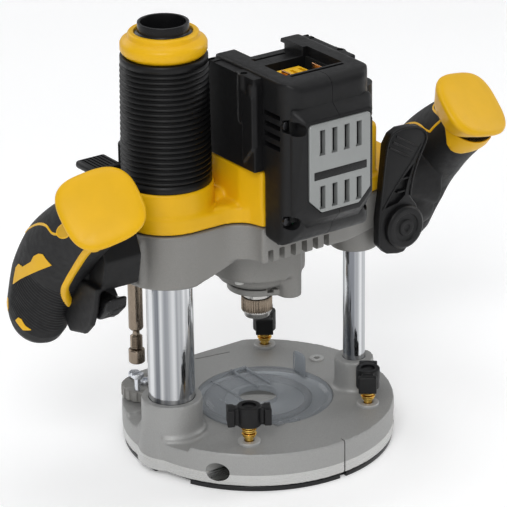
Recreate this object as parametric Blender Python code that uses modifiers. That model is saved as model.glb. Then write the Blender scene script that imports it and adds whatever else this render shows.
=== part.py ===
"""Cordless plunge router: a base on two columns, and a motor head that slides on them.

Sizes below are millimetres, and the helpers turn them into metres. X runs along the
handles, -Y is the side with the vent grille, +Z is up, and the spindle axis is x = y = 0
until centre_on_floor() moves the whole model over its own footprint.
"""

import math

import bmesh
import bpy
from mathutils import Matrix, Vector

MM = 0.001

# Clearances
GAP = 0.3            # between pieces that touch
RUN = 0.3            # between a sliding or turning piece and its bore

# Base
BASE_R = 85.0
BASE_TOP = 25.0
FLAT_Y = 74.5        # flat edge at the back of the base
SOLE_T = 3.0
SOLE_INSET = 1.0
THROAT_R = 30.0      # hole through the casting and the sole
RECESS_R = 43.0
RECESS_AT = (3.0, -3.0)
INSERT_T = 3.0
INSERT_DROP = 0.5    # top of the insert below the deck
INSERT_HOLE_R = 12.0
TAB_H = 16.0         # lifting tab on the insert
TAB_T = 1.6
TAB_Y = (3.0, 17.0)
TAB_X = 38.5
SEAT_DEPTH = 5.0     # how far the dust column reaches into the deck
DUCT_LOW = 7.0       # floor of the chip duct under the deck
DUCT_HALF_W = 9.0
GUIDE_FOOT = 8.0     # lower end of the guide column
SPRING_FOOT = 14.0
ROD_BORE_R = 6.0
ROD_Z = 12.0
FRONT_ROD_Y = -52.0
BACK_ROD_Y = 58.0
CLAMPS = {"front": (-43.2, FRONT_ROD_Y), "right": (46.8, FRONT_ROD_Y), "back": (46.5, BACK_ROD_Y)}
CLAMP_TURNS = {"front": -30.0, "right": 20.0, "back": 55.0}   # how each wing knob happens to stand
CLAMP_RING_R = 7.0
CLAMP_RING_H = 2.0
STUD_R = 2.7
KNOB_LIFT = 12.0     # underside of a clamp knob above the deck
KNOB_H = 13.0
KNOB_SPAN = 27.0
KNOB_HUB_R = 7.5
KNOB_CAP = 3.0       # closed end of the knob above its stud
SOLE_SCREW_PCD = 142.0
SCREW_ANGLES = (90.0, 214.0, 300.0)
SCREW_R = 1.8
SCREW_L = 11.0
SCREW_HEAD_R = 3.3
SCREW_HEAD_H = 1.5

# Columns
PLUNGE = 70.0
DUST_AT = (-67.0, -4.0)
DUST_R = 14.3
DUST_WALL = 1.5
GUIDE_AT = (57.0, -24.0)
GUIDE_R = 7.0
GUIDE_WALL = 2.0
SOCKET_TOP = 45.0
DUST_SOCKET_R = 19.0
GUIDE_SOCKET_R = 12.3
GUIDE_TOP = 150.0    # top end of the guide column
BUSH_WALL = 2.5
BUSH_L = 30.0
SPRING_WIRE_R = 0.7
SPRING_TURNS = 18

# Bellows and dust outlet
CUP_TOP = 187.0
COLLAR_Z = 265.5
COLLAR_R = 25.8
COLLAR_H = 14.0
SPOUT_R = 16.2
SPOUT_H = 7.0
SPOUT_WALL = 3.0
SPOUT_SEAT = 8.0     # depth of the spout's pocket in the collar
COLUMN_SEAT = 4.0    # how far the column reaches into the collar
BELLOWS_R = 27.5
BELLOWS_RIB = 1.6
BELLOWS_RIBS = 11
BELLOWS_WALL = 1.4
CUP_LIP = 0.5        # cup's wall beyond the bellows

# Head
HEAD_BOTTOM = 126.0  # underside of the column bosses
SPLIT_Z = 161.0      # joint between the casting and the top cover
NOSE_R = 19.0
NOSE_BOTTOM = 99.0
BODY_R = 30.0
BODY_BOTTOM = 110.0
HEAD_BACK = 36.0
BOSS_R = 29.5
WORK_LIGHTS_X = (-21.0, 21.0)
WORK_LIGHTS_Y = -12.0
WORK_LIGHT_R = 3.0
SCREW_BOSS_AT = (9.0, -23.0)
SCREW_BOSS_R = 7.5
SCREW_BOSS_TOP = 137.0
SLOT_XS = (-28.5, -17.0, -5.7, 5.7, 17.0, 28.5)
SLOT_HALF_W = 2.2
SLOT_Z = (140.0, 148.0)
GUIDE_BOSS_R = 15.0
GUIDE_BOSS_BOTTOM = 121.0
WING_FRONT = -34.0
SHELF_FRONT = -52.0
WALL = 3.0
COVER_TOP = 198.0
SHOULDER_X = 64.0
SHOULDER_FRONT = -40.0
SHOULDER_RISE = 8.0
TOWER_R = 11.0

# Electronics housing with the battery rails on top
HOUSE_HALF_W = 31.0
HOUSE_FRONT = -79.0
HOUSE_BACK = -3.0
HOUSE_TOP = 258.0
HOUSE_BOTTOM = 155.0
RAIL_GAP_HALF = 20.3
RAIL_T = 6.0
WELL_FRONT = -61.0
WELL_BACK = -26.0
GRILLE_HALF_W = 22.0
GRILLE_BOTTOM = 179.0
GRILLE_TOP = 234.0
GRILLE_T = 4.0
PANEL_RIM = 4.0
PANEL_T = 6.5
SLOT_ROWS_Z = (187.0, 220.5)
SLOT_COLUMNS_X = (-13.5, -4.5, 4.5, 13.5)
SIDE_VENTS = 4
SIDE_VENT_Z = 214.0
SIDE_VENT_PITCH = 7.0
SIDE_COVER_T = 7.5
CONTACTS_X = (-7.0, 7.0)

# Motor and spindle
STATOR_R = 27.0
STATOR_WALL = 12.0
STATOR_Z = (124.0, 150.0)
ROTOR_R = 13.6
SHAFT_R = 5.0
SPINDLE_R = 8.5
LOWER_BEARING = (16.0, 103.3, 9.0)    # radius, lower face, width
UPPER_BEARING = (9.5, 163.5, 6.0)
FAN_R = 25.0
NUT_R = 10.0
NUT_BOTTOM = 80.0
NUT_H = 13.0
COLLET_R = 6.0
COLLET_BORE_R = 3.2
COLLET_DEPTH_Z = 100.0    # end of the collet's seat in the spindle
FAN_BLADES = 8

LOCK_R = 4.5
LOCK_Z = 117.5
LOCK_TRAVEL = 3.0
LOCK_PROUD = 2.5
DIAL_AT = (28.0, 183.0)               # y, z of the speed dial's axis
DIAL_R = 10.5
DIAL_HALF_W = 3.8
DIAL_SLOT_HALF_W = 4.5

# Depth stop
ROD_AT = (-66.5, 35.0)
DEPTH_ROD_R = 4.6
DEPTH_ROD_BOTTOM = 75.0
DEPTH_ROD_TOP = 176.0
DEPTH_TIP_BOTTOM = 52.0
DEPTH_TIP_R = 2.6
TIP_COLLAR_R = 5.2
ADJUSTER_R = 8.0
ADJUSTER_H = 22.0
TURRET_AT = (-57.0, 41.0)
TURRET_R = 15.0
TURRET_T = 7.0
TURRET_LIFT = 1.5
STOP_SCREW_LIFTS = (11.5, 7.5, 3.5)
LUG_R = 9.5
ROD_LEVER_Z = 151.0
ROD_LEVER_L = 38.0
LUG_BOTTOM = 143.0
TURRET_PIN_R = 2.2
STOP_SCREW_R = 2.0
STOP_HEAD_R = 4.2

# Handles
GRIP_X = 138.0
GRIP_TOP = (-30.0, 186.0)             # y, z of the upper end of the grip axis
GRIP_LOW = (34.0, 103.0)
GRIP_BOW = 9.0
GRIP_HALF_W = 21.0
GRIP_HALF_D = 23.0
GRIP_SHARES = (                       # place along the grip's axis, share of its full width
    (-0.08, 0.45), (-0.03, 0.74), (0.06, 0.90), (0.3, 1.0), (0.6, 1.0), (0.85, 0.92), (1.0, 0.86),
)
CAP_AT = (-43.0, 198.0)
CAP_HALF_W = 24.5
CAP_HALF_H = 26.0
CAP_T = 13.0
CAP_SPLAY = 0.35     # how far the pad faces outwards
ARM_INNER_X = 97.0
TRIGGER_AT = (-123.5, -2.0, 130.0)
TRIGGER_HALF_W = 6.9
TRIGGER_POCKET_HALF_W = 7.5

# Plunge lock lever
LEVER_AT = (74.8, -43.0, 137.0)
LEVER_HUB_R = 14.0
LEVER_L = 68.0
LEVER_T = 11.0
LEVER_SHAFT_R = 3.6


def empty(name, at=(0.0, 0.0, 0.0), parent=None):
    """An empty that stands for a body, on its joint's axis."""
    made = bpy.data.objects.new(name, None)
    made.empty_display_size = 0.01
    bpy.context.scene.collection.objects.link(made)
    made.parent = parent
    world = Vector(at) * MM
    made.location = world - parent.matrix_world.translation if parent else world
    bpy.context.view_layer.update()
    return made


def collection(name):
    made = bpy.data.collections.new(name)
    bpy.context.scene.collection.children.link(made)
    return made


def finish(name, colour, roughness, metallic):
    """One Principled material."""
    made = bpy.data.materials.new(name)
    made.use_nodes = True
    shader = made.node_tree.nodes["Principled BSDF"]
    shader.inputs["Base Color"].default_value = (*colour, 1.0)
    shader.inputs["Roughness"].default_value = roughness
    shader.inputs["Metallic"].default_value = metallic
    return made


def helper(bm, name="helper"):
    """A hidden mesh object, in metres, from a bmesh in millimetres."""
    bmesh.ops.scale(bm, vec=(MM, MM, MM), verts=bm.verts)
    mesh = bpy.data.meshes.new(name)
    bm.to_mesh(mesh)
    bm.free()
    made = bpy.data.objects.new(name, mesh)
    made.hide_render = True
    made.display_type = "WIRE"
    HELPERS.objects.link(made)
    made.parent = ROOT
    return made


def turn_to(axis):
    """The rotation that lays a Z axis along X, Y or a direction."""
    if isinstance(axis, str):
        axis = {"X": (1, 0, 0), "Y": (0, 1, 0), "Z": (0, 0, 1)}[axis]
    return Vector((0, 0, 1)).rotation_difference(Vector(axis).normalized()).to_matrix().to_4x4()


def rod(radius, low, high, at=(0.0, 0.0), axis="Z", top_radius=None, sides=32):
    """A cylinder or cone from low to high along an axis through at, in the two other axes."""
    bm = bmesh.new()
    end = radius if top_radius is None else top_radius
    bmesh.ops.create_cone(bm, cap_ends=True, segments=sides, radius1=radius, radius2=end, depth=high - low)
    middle = (low + high) / 2
    place = {"Z": (at[0], at[1], middle), "Y": (at[0], middle, at[1]), "X": (middle, at[0], at[1])}[axis]
    bmesh.ops.transform(bm, matrix=Matrix.Translation(place) @ turn_to(axis), verts=bm.verts)
    return helper(bm)


def spar(start, end, radius, end_radius=None, sides=20):
    """A cylinder or cone between two points."""
    first, last = Vector(start), Vector(end)
    bm = bmesh.new()
    top = radius if end_radius is None else end_radius
    length = (last - first).length
    bmesh.ops.create_cone(bm, cap_ends=True, segments=sides, radius1=radius, radius2=top, depth=length)
    place = Matrix.Translation((first + last) / 2) @ turn_to(last - first)
    bmesh.ops.transform(bm, matrix=place, verts=bm.verts)
    return helper(bm)


def box(low, high, bevel=0.0, steps=2):
    """A box between two corners, with rounded edges where bevel is given."""
    bm = bmesh.new()
    bmesh.ops.create_cube(bm, size=1.0)
    size = [b - a for a, b in zip(low, high)]
    middle = [(a + b) / 2 for a, b in zip(low, high)]
    bmesh.ops.scale(bm, vec=size, verts=bm.verts)
    if bevel:
        bmesh.ops.bevel(bm, geom=bm.edges[:], offset=bevel, segments=steps, profile=0.5, affect="EDGES")
    bmesh.ops.translate(bm, vec=middle, verts=bm.verts)
    return helper(bm)


def slab(outline, low, high, axis="Z"):
    """A flat outline with straight walls. Along X the outline is (y, z), along Y it is (x, z)."""
    curve = bpy.data.curves.new("outline", "CURVE")
    curve.dimensions = "2D"
    curve.fill_mode = "BOTH"
    curve.extrude = (high - low) / 2 * MM
    spline = curve.splines.new("POLY")
    spline.points.add(len(outline) - 1)
    for point, (u, v) in zip(spline.points, outline):
        point.co = (u * MM, v * MM, 0.0, 1.0)
    spline.use_cyclic_u = True
    drawn = bpy.data.objects.new("outline", curve)
    HELPERS.objects.link(drawn)
    middle = (low + high) / 2
    frames = {
        "Z": Matrix(((1, 0, 0, 0), (0, 1, 0, 0), (0, 0, 1, middle * MM), (0, 0, 0, 1))),
        "X": Matrix(((0, 0, 1, middle * MM), (1, 0, 0, 0), (0, 1, 0, 0), (0, 0, 0, 1))),
        "Y": Matrix(((1, 0, 0, 0), (0, 0, -1, middle * MM), (0, 1, 0, 0), (0, 0, 0, 1))),
    }
    return meshed(drawn, frames[axis])


def meshed(drawn, place=None):
    """Turns a curve object into a hidden closed mesh object."""
    bpy.context.view_layer.update()
    graph = bpy.context.evaluated_depsgraph_get()
    mesh = bpy.data.meshes.new_from_object(drawn.evaluated_get(graph))
    bpy.data.objects.remove(drawn)
    bm = bmesh.new()
    bm.from_mesh(mesh)
    bpy.data.meshes.remove(mesh)
    bmesh.ops.remove_doubles(bm, verts=bm.verts, dist=1e-6)
    if place:
        bmesh.ops.transform(bm, matrix=place, verts=bm.verts)
    bmesh.ops.recalc_face_normals(bm, faces=bm.faces)
    bmesh.ops.scale(bm, vec=(1 / MM, 1 / MM, 1 / MM), verts=bm.verts)
    return helper(bm)


def turned(profile, at=(0.0, 0.0), steps=32):
    """A closed profile of (radius, z) points turned about a vertical axis, with a Screw modifier."""
    mesh = bpy.data.meshes.new("profile")
    points = [(r * MM, 0.0, z * MM) for r, z in profile]
    count = len(points)
    mesh.from_pydata(points, [(i, (i + 1) % count) for i in range(count)], [])
    made = bpy.data.objects.new("turned", mesh)
    HELPERS.objects.link(made)
    screw = made.modifiers.new("turn", "SCREW")
    screw.steps = screw.render_steps = steps
    screw.use_merge_vertices = True
    screw.merge_threshold = 1e-6
    place = Matrix.Translation((at[0] * MM, at[1] * MM, 0.0))
    return meshed(made, place)


def tube(outer, inner, low, high, at=(0.0, 0.0), steps=32):
    """A straight tube."""
    return turned([(outer, high), (outer, low), (inner, low), (inner, high)], at, steps)


def ring_points(centre, u, v, half_u, half_v, sides, squareness=2.0):
    """A superellipse about centre in the plane of u and v."""
    points = []
    for i in range(sides):
        a = 2 * math.pi * i / sides
        c, s = math.cos(a), math.sin(a)
        x = math.copysign(abs(c) ** (2 / squareness), c) * half_u
        y = math.copysign(abs(s) ** (2 / squareness), s) * half_v
        points.append(centre + u * x + v * y)
    return points


def loft(sections, sides=16, squareness=2.0):
    """A closed skin through rings. Each section is (centre, u, v, half_u, half_v)."""
    bm = bmesh.new()
    rings = []
    for centre, u, v, half_u, half_v in sections:
        points = ring_points(Vector(centre), u, v, half_u, half_v, sides, squareness)
        rings.append([bm.verts.new(p) for p in points])
    for low, high in zip(rings, rings[1:]):
        for i in range(sides):
            j = (i + 1) % sides
            bm.faces.new((low[i], low[j], high[j], high[i]))
    bm.faces.new(rings[0][::-1])
    bm.faces.new(rings[-1])
    bmesh.ops.recalc_face_normals(bm, faces=bm.faces)
    return helper(bm)


def coil(radius, wire, low, high, turns, at, points_per_turn=8):
    """A compression spring with a round wire."""
    curve = bpy.data.curves.new("coil", "CURVE")
    curve.dimensions = "3D"
    curve.bevel_depth = wire * MM
    curve.bevel_resolution = 1
    curve.use_fill_caps = True
    spline = curve.splines.new("POLY")
    count = turns * points_per_turn + 1
    spline.points.add(count - 1)
    for i, point in enumerate(spline.points):
        a = 2 * math.pi * i / points_per_turn
        z = low + wire + (high - low - 2 * wire) * i / (count - 1)
        point.co = ((at[0] + radius * math.cos(a)) * MM, (at[1] + radius * math.sin(a)) * MM, z * MM, 1.0)
    drawn = bpy.data.objects.new("coil", curve)
    HELPERS.objects.link(drawn)
    return meshed(drawn)


def boolean(target, other, operation):
    made = target.modifiers.new(operation.lower(), "BOOLEAN")
    made.operation = operation
    made.solver = "EXACT"
    made.object = other


def node(name, look, body, base, joins=(), cuts=()):
    """Names a solid, joins and cuts it, and hangs it on its body's empty."""
    for other in joins:
        boolean(base, other, "UNION")
    for other in cuts:
        boolean(base, other, "DIFFERENCE")
    base.name = name
    base.hide_render = False
    base.display_type = "TEXTURED"
    HELPERS.objects.unlink(base)
    PARTS.objects.link(base)
    base.data.materials.clear()
    base.data.materials.append(look)
    base.data.shade_smooth()
    base.data.set_sharp_from_angle(angle=math.radians(35))
    base.parent = body
    base.matrix_parent_inverse = body.matrix_world.inverted()
    return base


def arc(centre, radius, start, end, steps):
    """Points on an arc, with angles in degrees."""
    points = []
    for i in range(steps + 1):
        a = math.radians(start + (end - start) * i / steps)
        points.append((centre[0] + radius * math.cos(a), centre[1] + radius * math.sin(a)))
    return points


# ---------------------------------------------------------------- base

def build_base():
    """Sole, casting with its sockets, throat insert and screws."""
    bottom = SOLE_T + GAP
    half = math.degrees(math.acos(FLAT_Y / BASE_R))
    outline = arc((0, 0), BASE_R, 90 + half, 450 - half, 72)
    inset = BASE_R - SOLE_INSET
    edge = math.degrees(math.acos((FLAT_Y - SOLE_INSET) / inset))
    sole_outline = arc((0, 0), inset, 90 + edge, 450 - edge, 72)
    screws = [arc((0, 0), SOLE_SCREW_PCD / 2, a, a, 1)[0] for a in SCREW_ANGLES]
    joins = [
        rod(DUST_SOCKET_R, bottom, SOCKET_TOP, DUST_AT, sides=40),
        rod(GUIDE_SOCKET_R, bottom, SOCKET_TOP, GUIDE_AT),
        rod(TURRET_R * 0.6, BASE_TOP - 1, BASE_TOP + TURRET_LIFT, TURRET_AT),
    ]
    joins += [rod(CLAMP_RING_R, BASE_TOP - 1, BASE_TOP + CLAMP_RING_H, at) for at in CLAMPS.values()]
    column_seat = BASE_TOP - SEAT_DEPTH
    duct_low = (DUST_AT[0], DUST_AT[1] - DUCT_HALF_W, DUCT_LOW)
    duct_high = (0.0, DUST_AT[1] + DUCT_HALF_W, column_seat - 2)
    recess_floor = BASE_TOP - INSERT_DROP - INSERT_T - GAP
    cuts = [
        rod(THROAT_R, -1, BASE_TOP + 1, (0, 0), sides=40),
        rod(RECESS_R, recess_floor, BASE_TOP + 1, RECESS_AT, sides=48),
        rod(DUST_R + GAP, column_seat, SOCKET_TOP + 1, DUST_AT, sides=40),
        rod(DUST_R - DUST_WALL - 1, DUCT_LOW, column_seat + 1, DUST_AT),
        box(duct_low, duct_high, 2.0),
        rod(GUIDE_R + GAP, GUIDE_FOOT, SOCKET_TOP + 1, GUIDE_AT),
        rod(ROD_BORE_R, -BASE_R - 1, BASE_R + 1, (FRONT_ROD_Y, ROD_Z), "X", sides=20),
        rod(ROD_BORE_R, -BASE_R - 1, BASE_R + 1, (BACK_ROD_Y, ROD_Z), "X", sides=20),
        rod(STUD_R + GAP, ROD_Z + 2, BASE_TOP + TURRET_LIFT + 1, TURRET_AT, sides=16),
    ]
    cuts += [rod(STUD_R + GAP, ROD_Z, BASE_TOP + CLAMP_RING_H + 1, at, sides=16) for at in CLAMPS.values()]
    cuts += [rod(SCREW_R + GAP, 0, SCREW_L + GAP, at, sides=12) for at in screws]
    node("base_casting", CAST, BASE, slab(outline, bottom, BASE_TOP), joins, cuts)
    sole_cuts = [rod(THROAT_R, -1, SOLE_T + 1, (0, 0), sides=40)]
    sole_cuts += [rod(SCREW_HEAD_R + GAP, -1, SCREW_HEAD_H + 2 * GAP, at, sides=16) for at in screws]
    sole_cuts += [rod(SCREW_R + GAP, 1, SOLE_T + 1, at, sides=16) for at in screws]
    node("sole_plate", PHENOLIC, BASE, slab(sole_outline, 0, SOLE_T), (), sole_cuts)
    for i, at in enumerate(screws):
        head_top = SCREW_HEAD_H + GAP
        profile = [(0, SCREW_L), (SCREW_R, SCREW_L), (SCREW_R, head_top), (SCREW_HEAD_R, head_top)]
        profile += [(SCREW_HEAD_R, GAP), (0, GAP)]
        node(f"sole_screw_{i + 1}", STEEL, BASE, turned(profile, at, 12))
    top = BASE_TOP - INSERT_DROP
    insert = rod(RECESS_R - GAP, top - INSERT_T, top, RECESS_AT, sides=48)
    tab = box((TAB_X, TAB_Y[0], top - 1), (TAB_X + TAB_T, TAB_Y[1], top + TAB_H))
    bore = rod(INSERT_HOLE_R, 0, BASE_TOP + 1, (0, 0))
    node("throat_insert", SMOKE, BASE, insert, [tab], [bore])


def knob_wing(at, low, span, angle):
    """A bar across a clamp knob, turned about its stud."""
    bar = box((-span / 2, -4, low + 1), (span / 2, 4, low + KNOB_H - 1), 2.0)
    place = Matrix.Translation((at[0] * MM, at[1] * MM, 0)) @ Matrix.Rotation(math.radians(angle), 4, "Z")
    bar.data.transform(place)
    return bar


def build_clamps():
    """Three wing knobs on brass studs, which hold the fence rods."""
    for name, at in CLAMPS.items():
        body = empty(f"{name}_clamp", (at[0], at[1], BASE_TOP), ROOT)
        low = BASE_TOP + KNOB_LIFT
        hub = rod(KNOB_HUB_R, low, low + KNOB_H, at, sides=20)
        wings = knob_wing(at, low, KNOB_SPAN, CLAMP_TURNS[name])
        cross = knob_wing(at, low, KNOB_SPAN * 0.7, CLAMP_TURNS[name] + 90)
        bore = rod(STUD_R + GAP, low - 1, low + KNOB_H - KNOB_CAP, at, sides=16)
        node(f"{name}_clamp_knob", BLACK, body, hub, [wings, cross], [bore])
        tip = ROD_Z + ROD_BORE_R * 0.8
        stud = rod(STUD_R, tip, low + KNOB_H - KNOB_CAP - GAP, at, sides=16)
        node(f"{name}_clamp_stud", BRASS, body, stud)


def build_columns():
    """The hollow dust column and the thinner guide column."""
    seat = BASE_TOP - SEAT_DEPTH + GAP
    dust_top = COLLAR_Z + COLUMN_SEAT
    node("dust_column", CHROME, BASE, tube(DUST_R, DUST_R - DUST_WALL, seat, dust_top, DUST_AT, 40))
    inner = GUIDE_R - GUIDE_WALL
    foot = GUIDE_FOOT + GAP
    profile = [(GUIDE_R, GUIDE_TOP), (GUIDE_R, foot), (0, foot)]
    profile += [(0, SPRING_FOOT), (inner, SPRING_FOOT), (inner, GUIDE_TOP)]
    node("guide_column", CHROME, BASE, turned(profile, GUIDE_AT, 24))
    radius = inner - SPRING_WIRE_R - GAP
    high = spring_roof() - GAP
    spring = coil(radius, SPRING_WIRE_R, SPRING_FOOT + GAP, high, SPRING_TURNS, GUIDE_AT)
    node("plunge_spring", STEEL, BASE, spring)


def spring_roof():
    """Underside of the spring tower's closed top, clear of the column at full plunge."""
    return GUIDE_TOP + PLUNGE + 4


def build_outlet():
    """Yellow collar on top of the dust column, its black spout, and the bellows below it."""
    top = COLLAR_Z + COLLAR_H
    bore = DUST_R + GAP
    seat = COLLAR_Z + COLUMN_SEAT + GAP
    lip = DUST_R - DUST_WALL
    pocket = top - SPOUT_SEAT
    waist = COLLAR_R - 1.5
    profile = [(COLLAR_R, top - 3), (COLLAR_R, COLLAR_Z + 5), (waist, COLLAR_Z + 5), (waist, COLLAR_Z)]
    profile += [(bore, COLLAR_Z), (bore, seat), (lip, seat), (lip, pocket)]
    profile += [(SPOUT_R + GAP, pocket), (SPOUT_R + GAP, top - 1), (COLLAR_R - 3, top - 1)]
    node("outlet_collar", YELLOW, BASE, turned(profile, DUST_AT, 40))
    ring = tube(SPOUT_R, SPOUT_R - SPOUT_WALL, pocket + GAP, top + SPOUT_H - 1, DUST_AT)
    node("outlet_spout", BLACK, BASE, ring)
    node("bellows", RUBBER, BASE, turned(bellows_profile(), DUST_AT, 32))


def bellows_profile():
    """Ribs outside, and the same wave a wall's thickness further in."""
    low = CUP_TOP + GAP
    high = COLLAR_Z - GAP
    pitch = (high - low) / BELLOWS_RIBS
    outer = []
    for i in range(BELLOWS_RIBS):
        outer.append((BELLOWS_R - BELLOWS_RIB, low + pitch * i))
        outer.append((BELLOWS_R, low + pitch * (i + 0.5)))
    outer.append((BELLOWS_R - BELLOWS_RIB, high))
    inner = [(r - BELLOWS_WALL, z) for r, z in outer]
    return outer[::-1] + inner


# ---------------------------------------------------------------- head

def casting_outline(grow=0.0):
    """Plan of the head: a rounded wing round each column, and a shelf in front of the motor."""
    wide = BOSS_R + grow
    front = WING_FRONT - grow
    x, y = DUST_AT
    points = arc(DUST_AT, wide, 90, 270, 12)
    shelf = HOUSE_HALF_W + grow
    points += [(-HOUSE_HALF_W - 8, front), (-shelf, front - 6), (-shelf, SHELF_FRONT)]
    points += [(shelf, SHELF_FRONT), (HOUSE_HALF_W + 12, SHELF_FRONT + 4), (GUIDE_AT[0] + 7, -42)]
    points += [(ARM_INNER_X - 5, -30), (ARM_INNER_X, -22), (ARM_INNER_X, 10), (ARM_INNER_X - 7, 18)]
    points += [(44, 30), (20, HEAD_BACK), (-20, HEAD_BACK), (-44, y + wide)]
    return points


def build_casting():
    """Grey motor casting with its nose, column bosses and the lug of the depth rod."""
    low = HEAD_BOTTOM
    bush_r = DUST_R + RUN + BUSH_WALL
    guide_bush_r = GUIDE_R + RUN + BUSH_WALL
    radius, seat, width = LOWER_BEARING
    joins = [
        rod(BODY_R, BODY_BOTTOM, SPLIT_Z, (0, 0), sides=48),
        rod(NOSE_R, NOSE_BOTTOM, BODY_BOTTOM + 1, (0, 0), sides=40),
        rod(SCREW_BOSS_R, NOSE_BOTTOM - 1, SCREW_BOSS_TOP, SCREW_BOSS_AT, sides=24),
        rod(GUIDE_BOSS_R, GUIDE_BOSS_BOTTOM, SPLIT_Z, GUIDE_AT, sides=28),
        rod(LUG_R, LUG_BOTTOM, SPLIT_Z, ROD_AT, sides=24),
        box((ROD_AT[0] - 4, DUST_AT[1] + DUST_R + 8, LUG_BOTTOM), (ROD_AT[0] + 4, ROD_AT[1], SPLIT_Z)),
        rod(LEVER_HUB_R - 1, LEVER_AT[1] + GAP, -16, (LEVER_AT[0], LEVER_AT[2]), "Y", sides=24),
        box((-ARM_INNER_X, -18, 128), (DUST_AT[0], 16, SPLIT_Z - 1), 3.0),
    ]
    cuts = [
        rod(bush_r + GAP, low - 1, low + 2 + BUSH_L, DUST_AT, sides=40),
        rod(DUST_R + 1.5, low, SPLIT_Z + 1, DUST_AT, sides=32),
        rod(guide_bush_r + GAP, GUIDE_BOSS_BOTTOM - 1, GUIDE_BOSS_BOTTOM + 2 + BUSH_L, GUIDE_AT, sides=24),
        rod(GUIDE_R + 1.2, 140, SPLIT_Z + 1, GUIDE_AT, sides=24),
        rod(DEPTH_ROD_R + RUN, LUG_BOTTOM - 1, SPLIT_Z + 1, ROD_AT, sides=20),
        rod(SPINDLE_R + 1.5, NOSE_BOTTOM - 1, seat + 1, (0, 0), sides=28),
        rod(radius + GAP, seat - GAP, seat + width + 1, (0, 0), sides=32),
        rod(STATOR_R + GAP, seat + width, SPLIT_Z + 1, (0, 0), sides=40),
        rod(LOCK_R + GAP, BODY_R - 5, BODY_R + 5, (0, LOCK_Z), "Y", sides=20),
        rod(2.5, 15, BODY_R, (0, LOCK_Z), "Y", sides=12),
        rod(LEVER_SHAFT_R + 1, LEVER_AT[1] - 5, -24, (LEVER_AT[0], LEVER_AT[2]), "Y", sides=16),
    ]
    for x in SLOT_XS:
        cuts.append(box((x - SLOT_HALF_W, SHELF_FRONT - 2, SLOT_Z[0]), (x + SLOT_HALF_W, -24, SLOT_Z[1])))
    for x in WORK_LIGHTS_X:
        pocket = (BODY_BOTTOM - 1, BODY_BOTTOM + 2.5)
        cuts.append(rod(WORK_LIGHT_R + GAP, *pocket, (x, WORK_LIGHTS_Y), sides=14))
    base = slab(casting_outline(), low + 6, SPLIT_Z)
    joins.append(rod(BOSS_R, low, SPLIT_Z, DUST_AT, sides=48))
    node("motor_casting", CAST, HEAD, base, joins, cuts)
    low_guide = GUIDE_BOSS_BOTTOM + 1
    dust_bush = tube(bush_r, DUST_R + RUN, low + 1, low + 1 + BUSH_L, DUST_AT, 40)
    node("dust_column_bush", BRONZE, HEAD, dust_bush)
    guide_bush = tube(guide_bush_r, GUIDE_R + RUN, low_guide, low_guide + BUSH_L, GUIDE_AT, 24)
    node("guide_column_bush", BRONZE, HEAD, guide_bush)
    for side, x in zip(("left", "right"), WORK_LIGHTS_X):
        lens = rod(WORK_LIGHT_R, BODY_BOTTOM + 0.4, BODY_BOTTOM + 2.2, (x, WORK_LIGHTS_Y), sides=14)
        node(f"{side}_work_light", LENS, HEAD, lens)


def build_cover():
    """Yellow top cover: cup under the bellows, motor crown, right shoulder."""
    low = SPLIT_Z + GAP
    radius, seat, width = UPPER_BEARING
    y, z = DIAL_AT
    dial_low = (-DIAL_SLOT_HALF_W, y - DIAL_R - 1.5, z - DIAL_R - 1)
    dial_high = (DIAL_SLOT_HALF_W, HEAD_BACK, z + DIAL_R + 1)
    joins = [
        rod(BELLOWS_R + CUP_LIP, low, CUP_TOP, DUST_AT, sides=48),
        box((-HOUSE_HALF_W - 5, SHELF_FRONT + 2, low + 1), (HOUSE_HALF_W + 5, 34, COVER_TOP - GAP), 3.0),
        box((HOUSE_HALF_W, SHOULDER_FRONT, low + 1), (SHOULDER_X, 12, COVER_TOP + SHOULDER_RISE), 5.0),
    ]
    cuts = [
        rod(DUST_R + 1.5, low - 1, CUP_TOP - 5, DUST_AT, sides=32),
        rod(BELLOWS_R - BELLOWS_RIB - BELLOWS_WALL - 2, CUP_TOP - 6, CUP_TOP + 1, DUST_AT, sides=32),
        rod(radius + GAP, low - 1, seat + width + GAP, (0, 0), sides=28),
        rod(GUIDE_R + 1.2, low - 1, COVER_TOP + SHOULDER_RISE + 1, GUIDE_AT, sides=24),
        box(dial_low, dial_high),
    ]
    node("top_cover", YELLOW, HEAD, slab(casting_outline(-1.0), low, low + 10), joins, cuts)
    roof = spring_roof()
    foot = COVER_TOP + SHOULDER_RISE + GAP
    bore = GUIDE_R + 1.2
    tower = [(TOWER_R, roof + 3), (TOWER_R, foot), (bore, foot), (bore, roof), (0, roof), (0, roof + 3)]
    node("spring_tower", BLACK, HEAD, turned(tower, GUIDE_AT, 24))
    dial = empty("speed_dial_axis", (0, y, z), HEAD)
    wheel = rod(DIAL_R, -DIAL_HALF_W, DIAL_HALF_W, (y, z), "X", sides=24)
    node("speed_dial", BLACK, dial, wheel)


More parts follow.
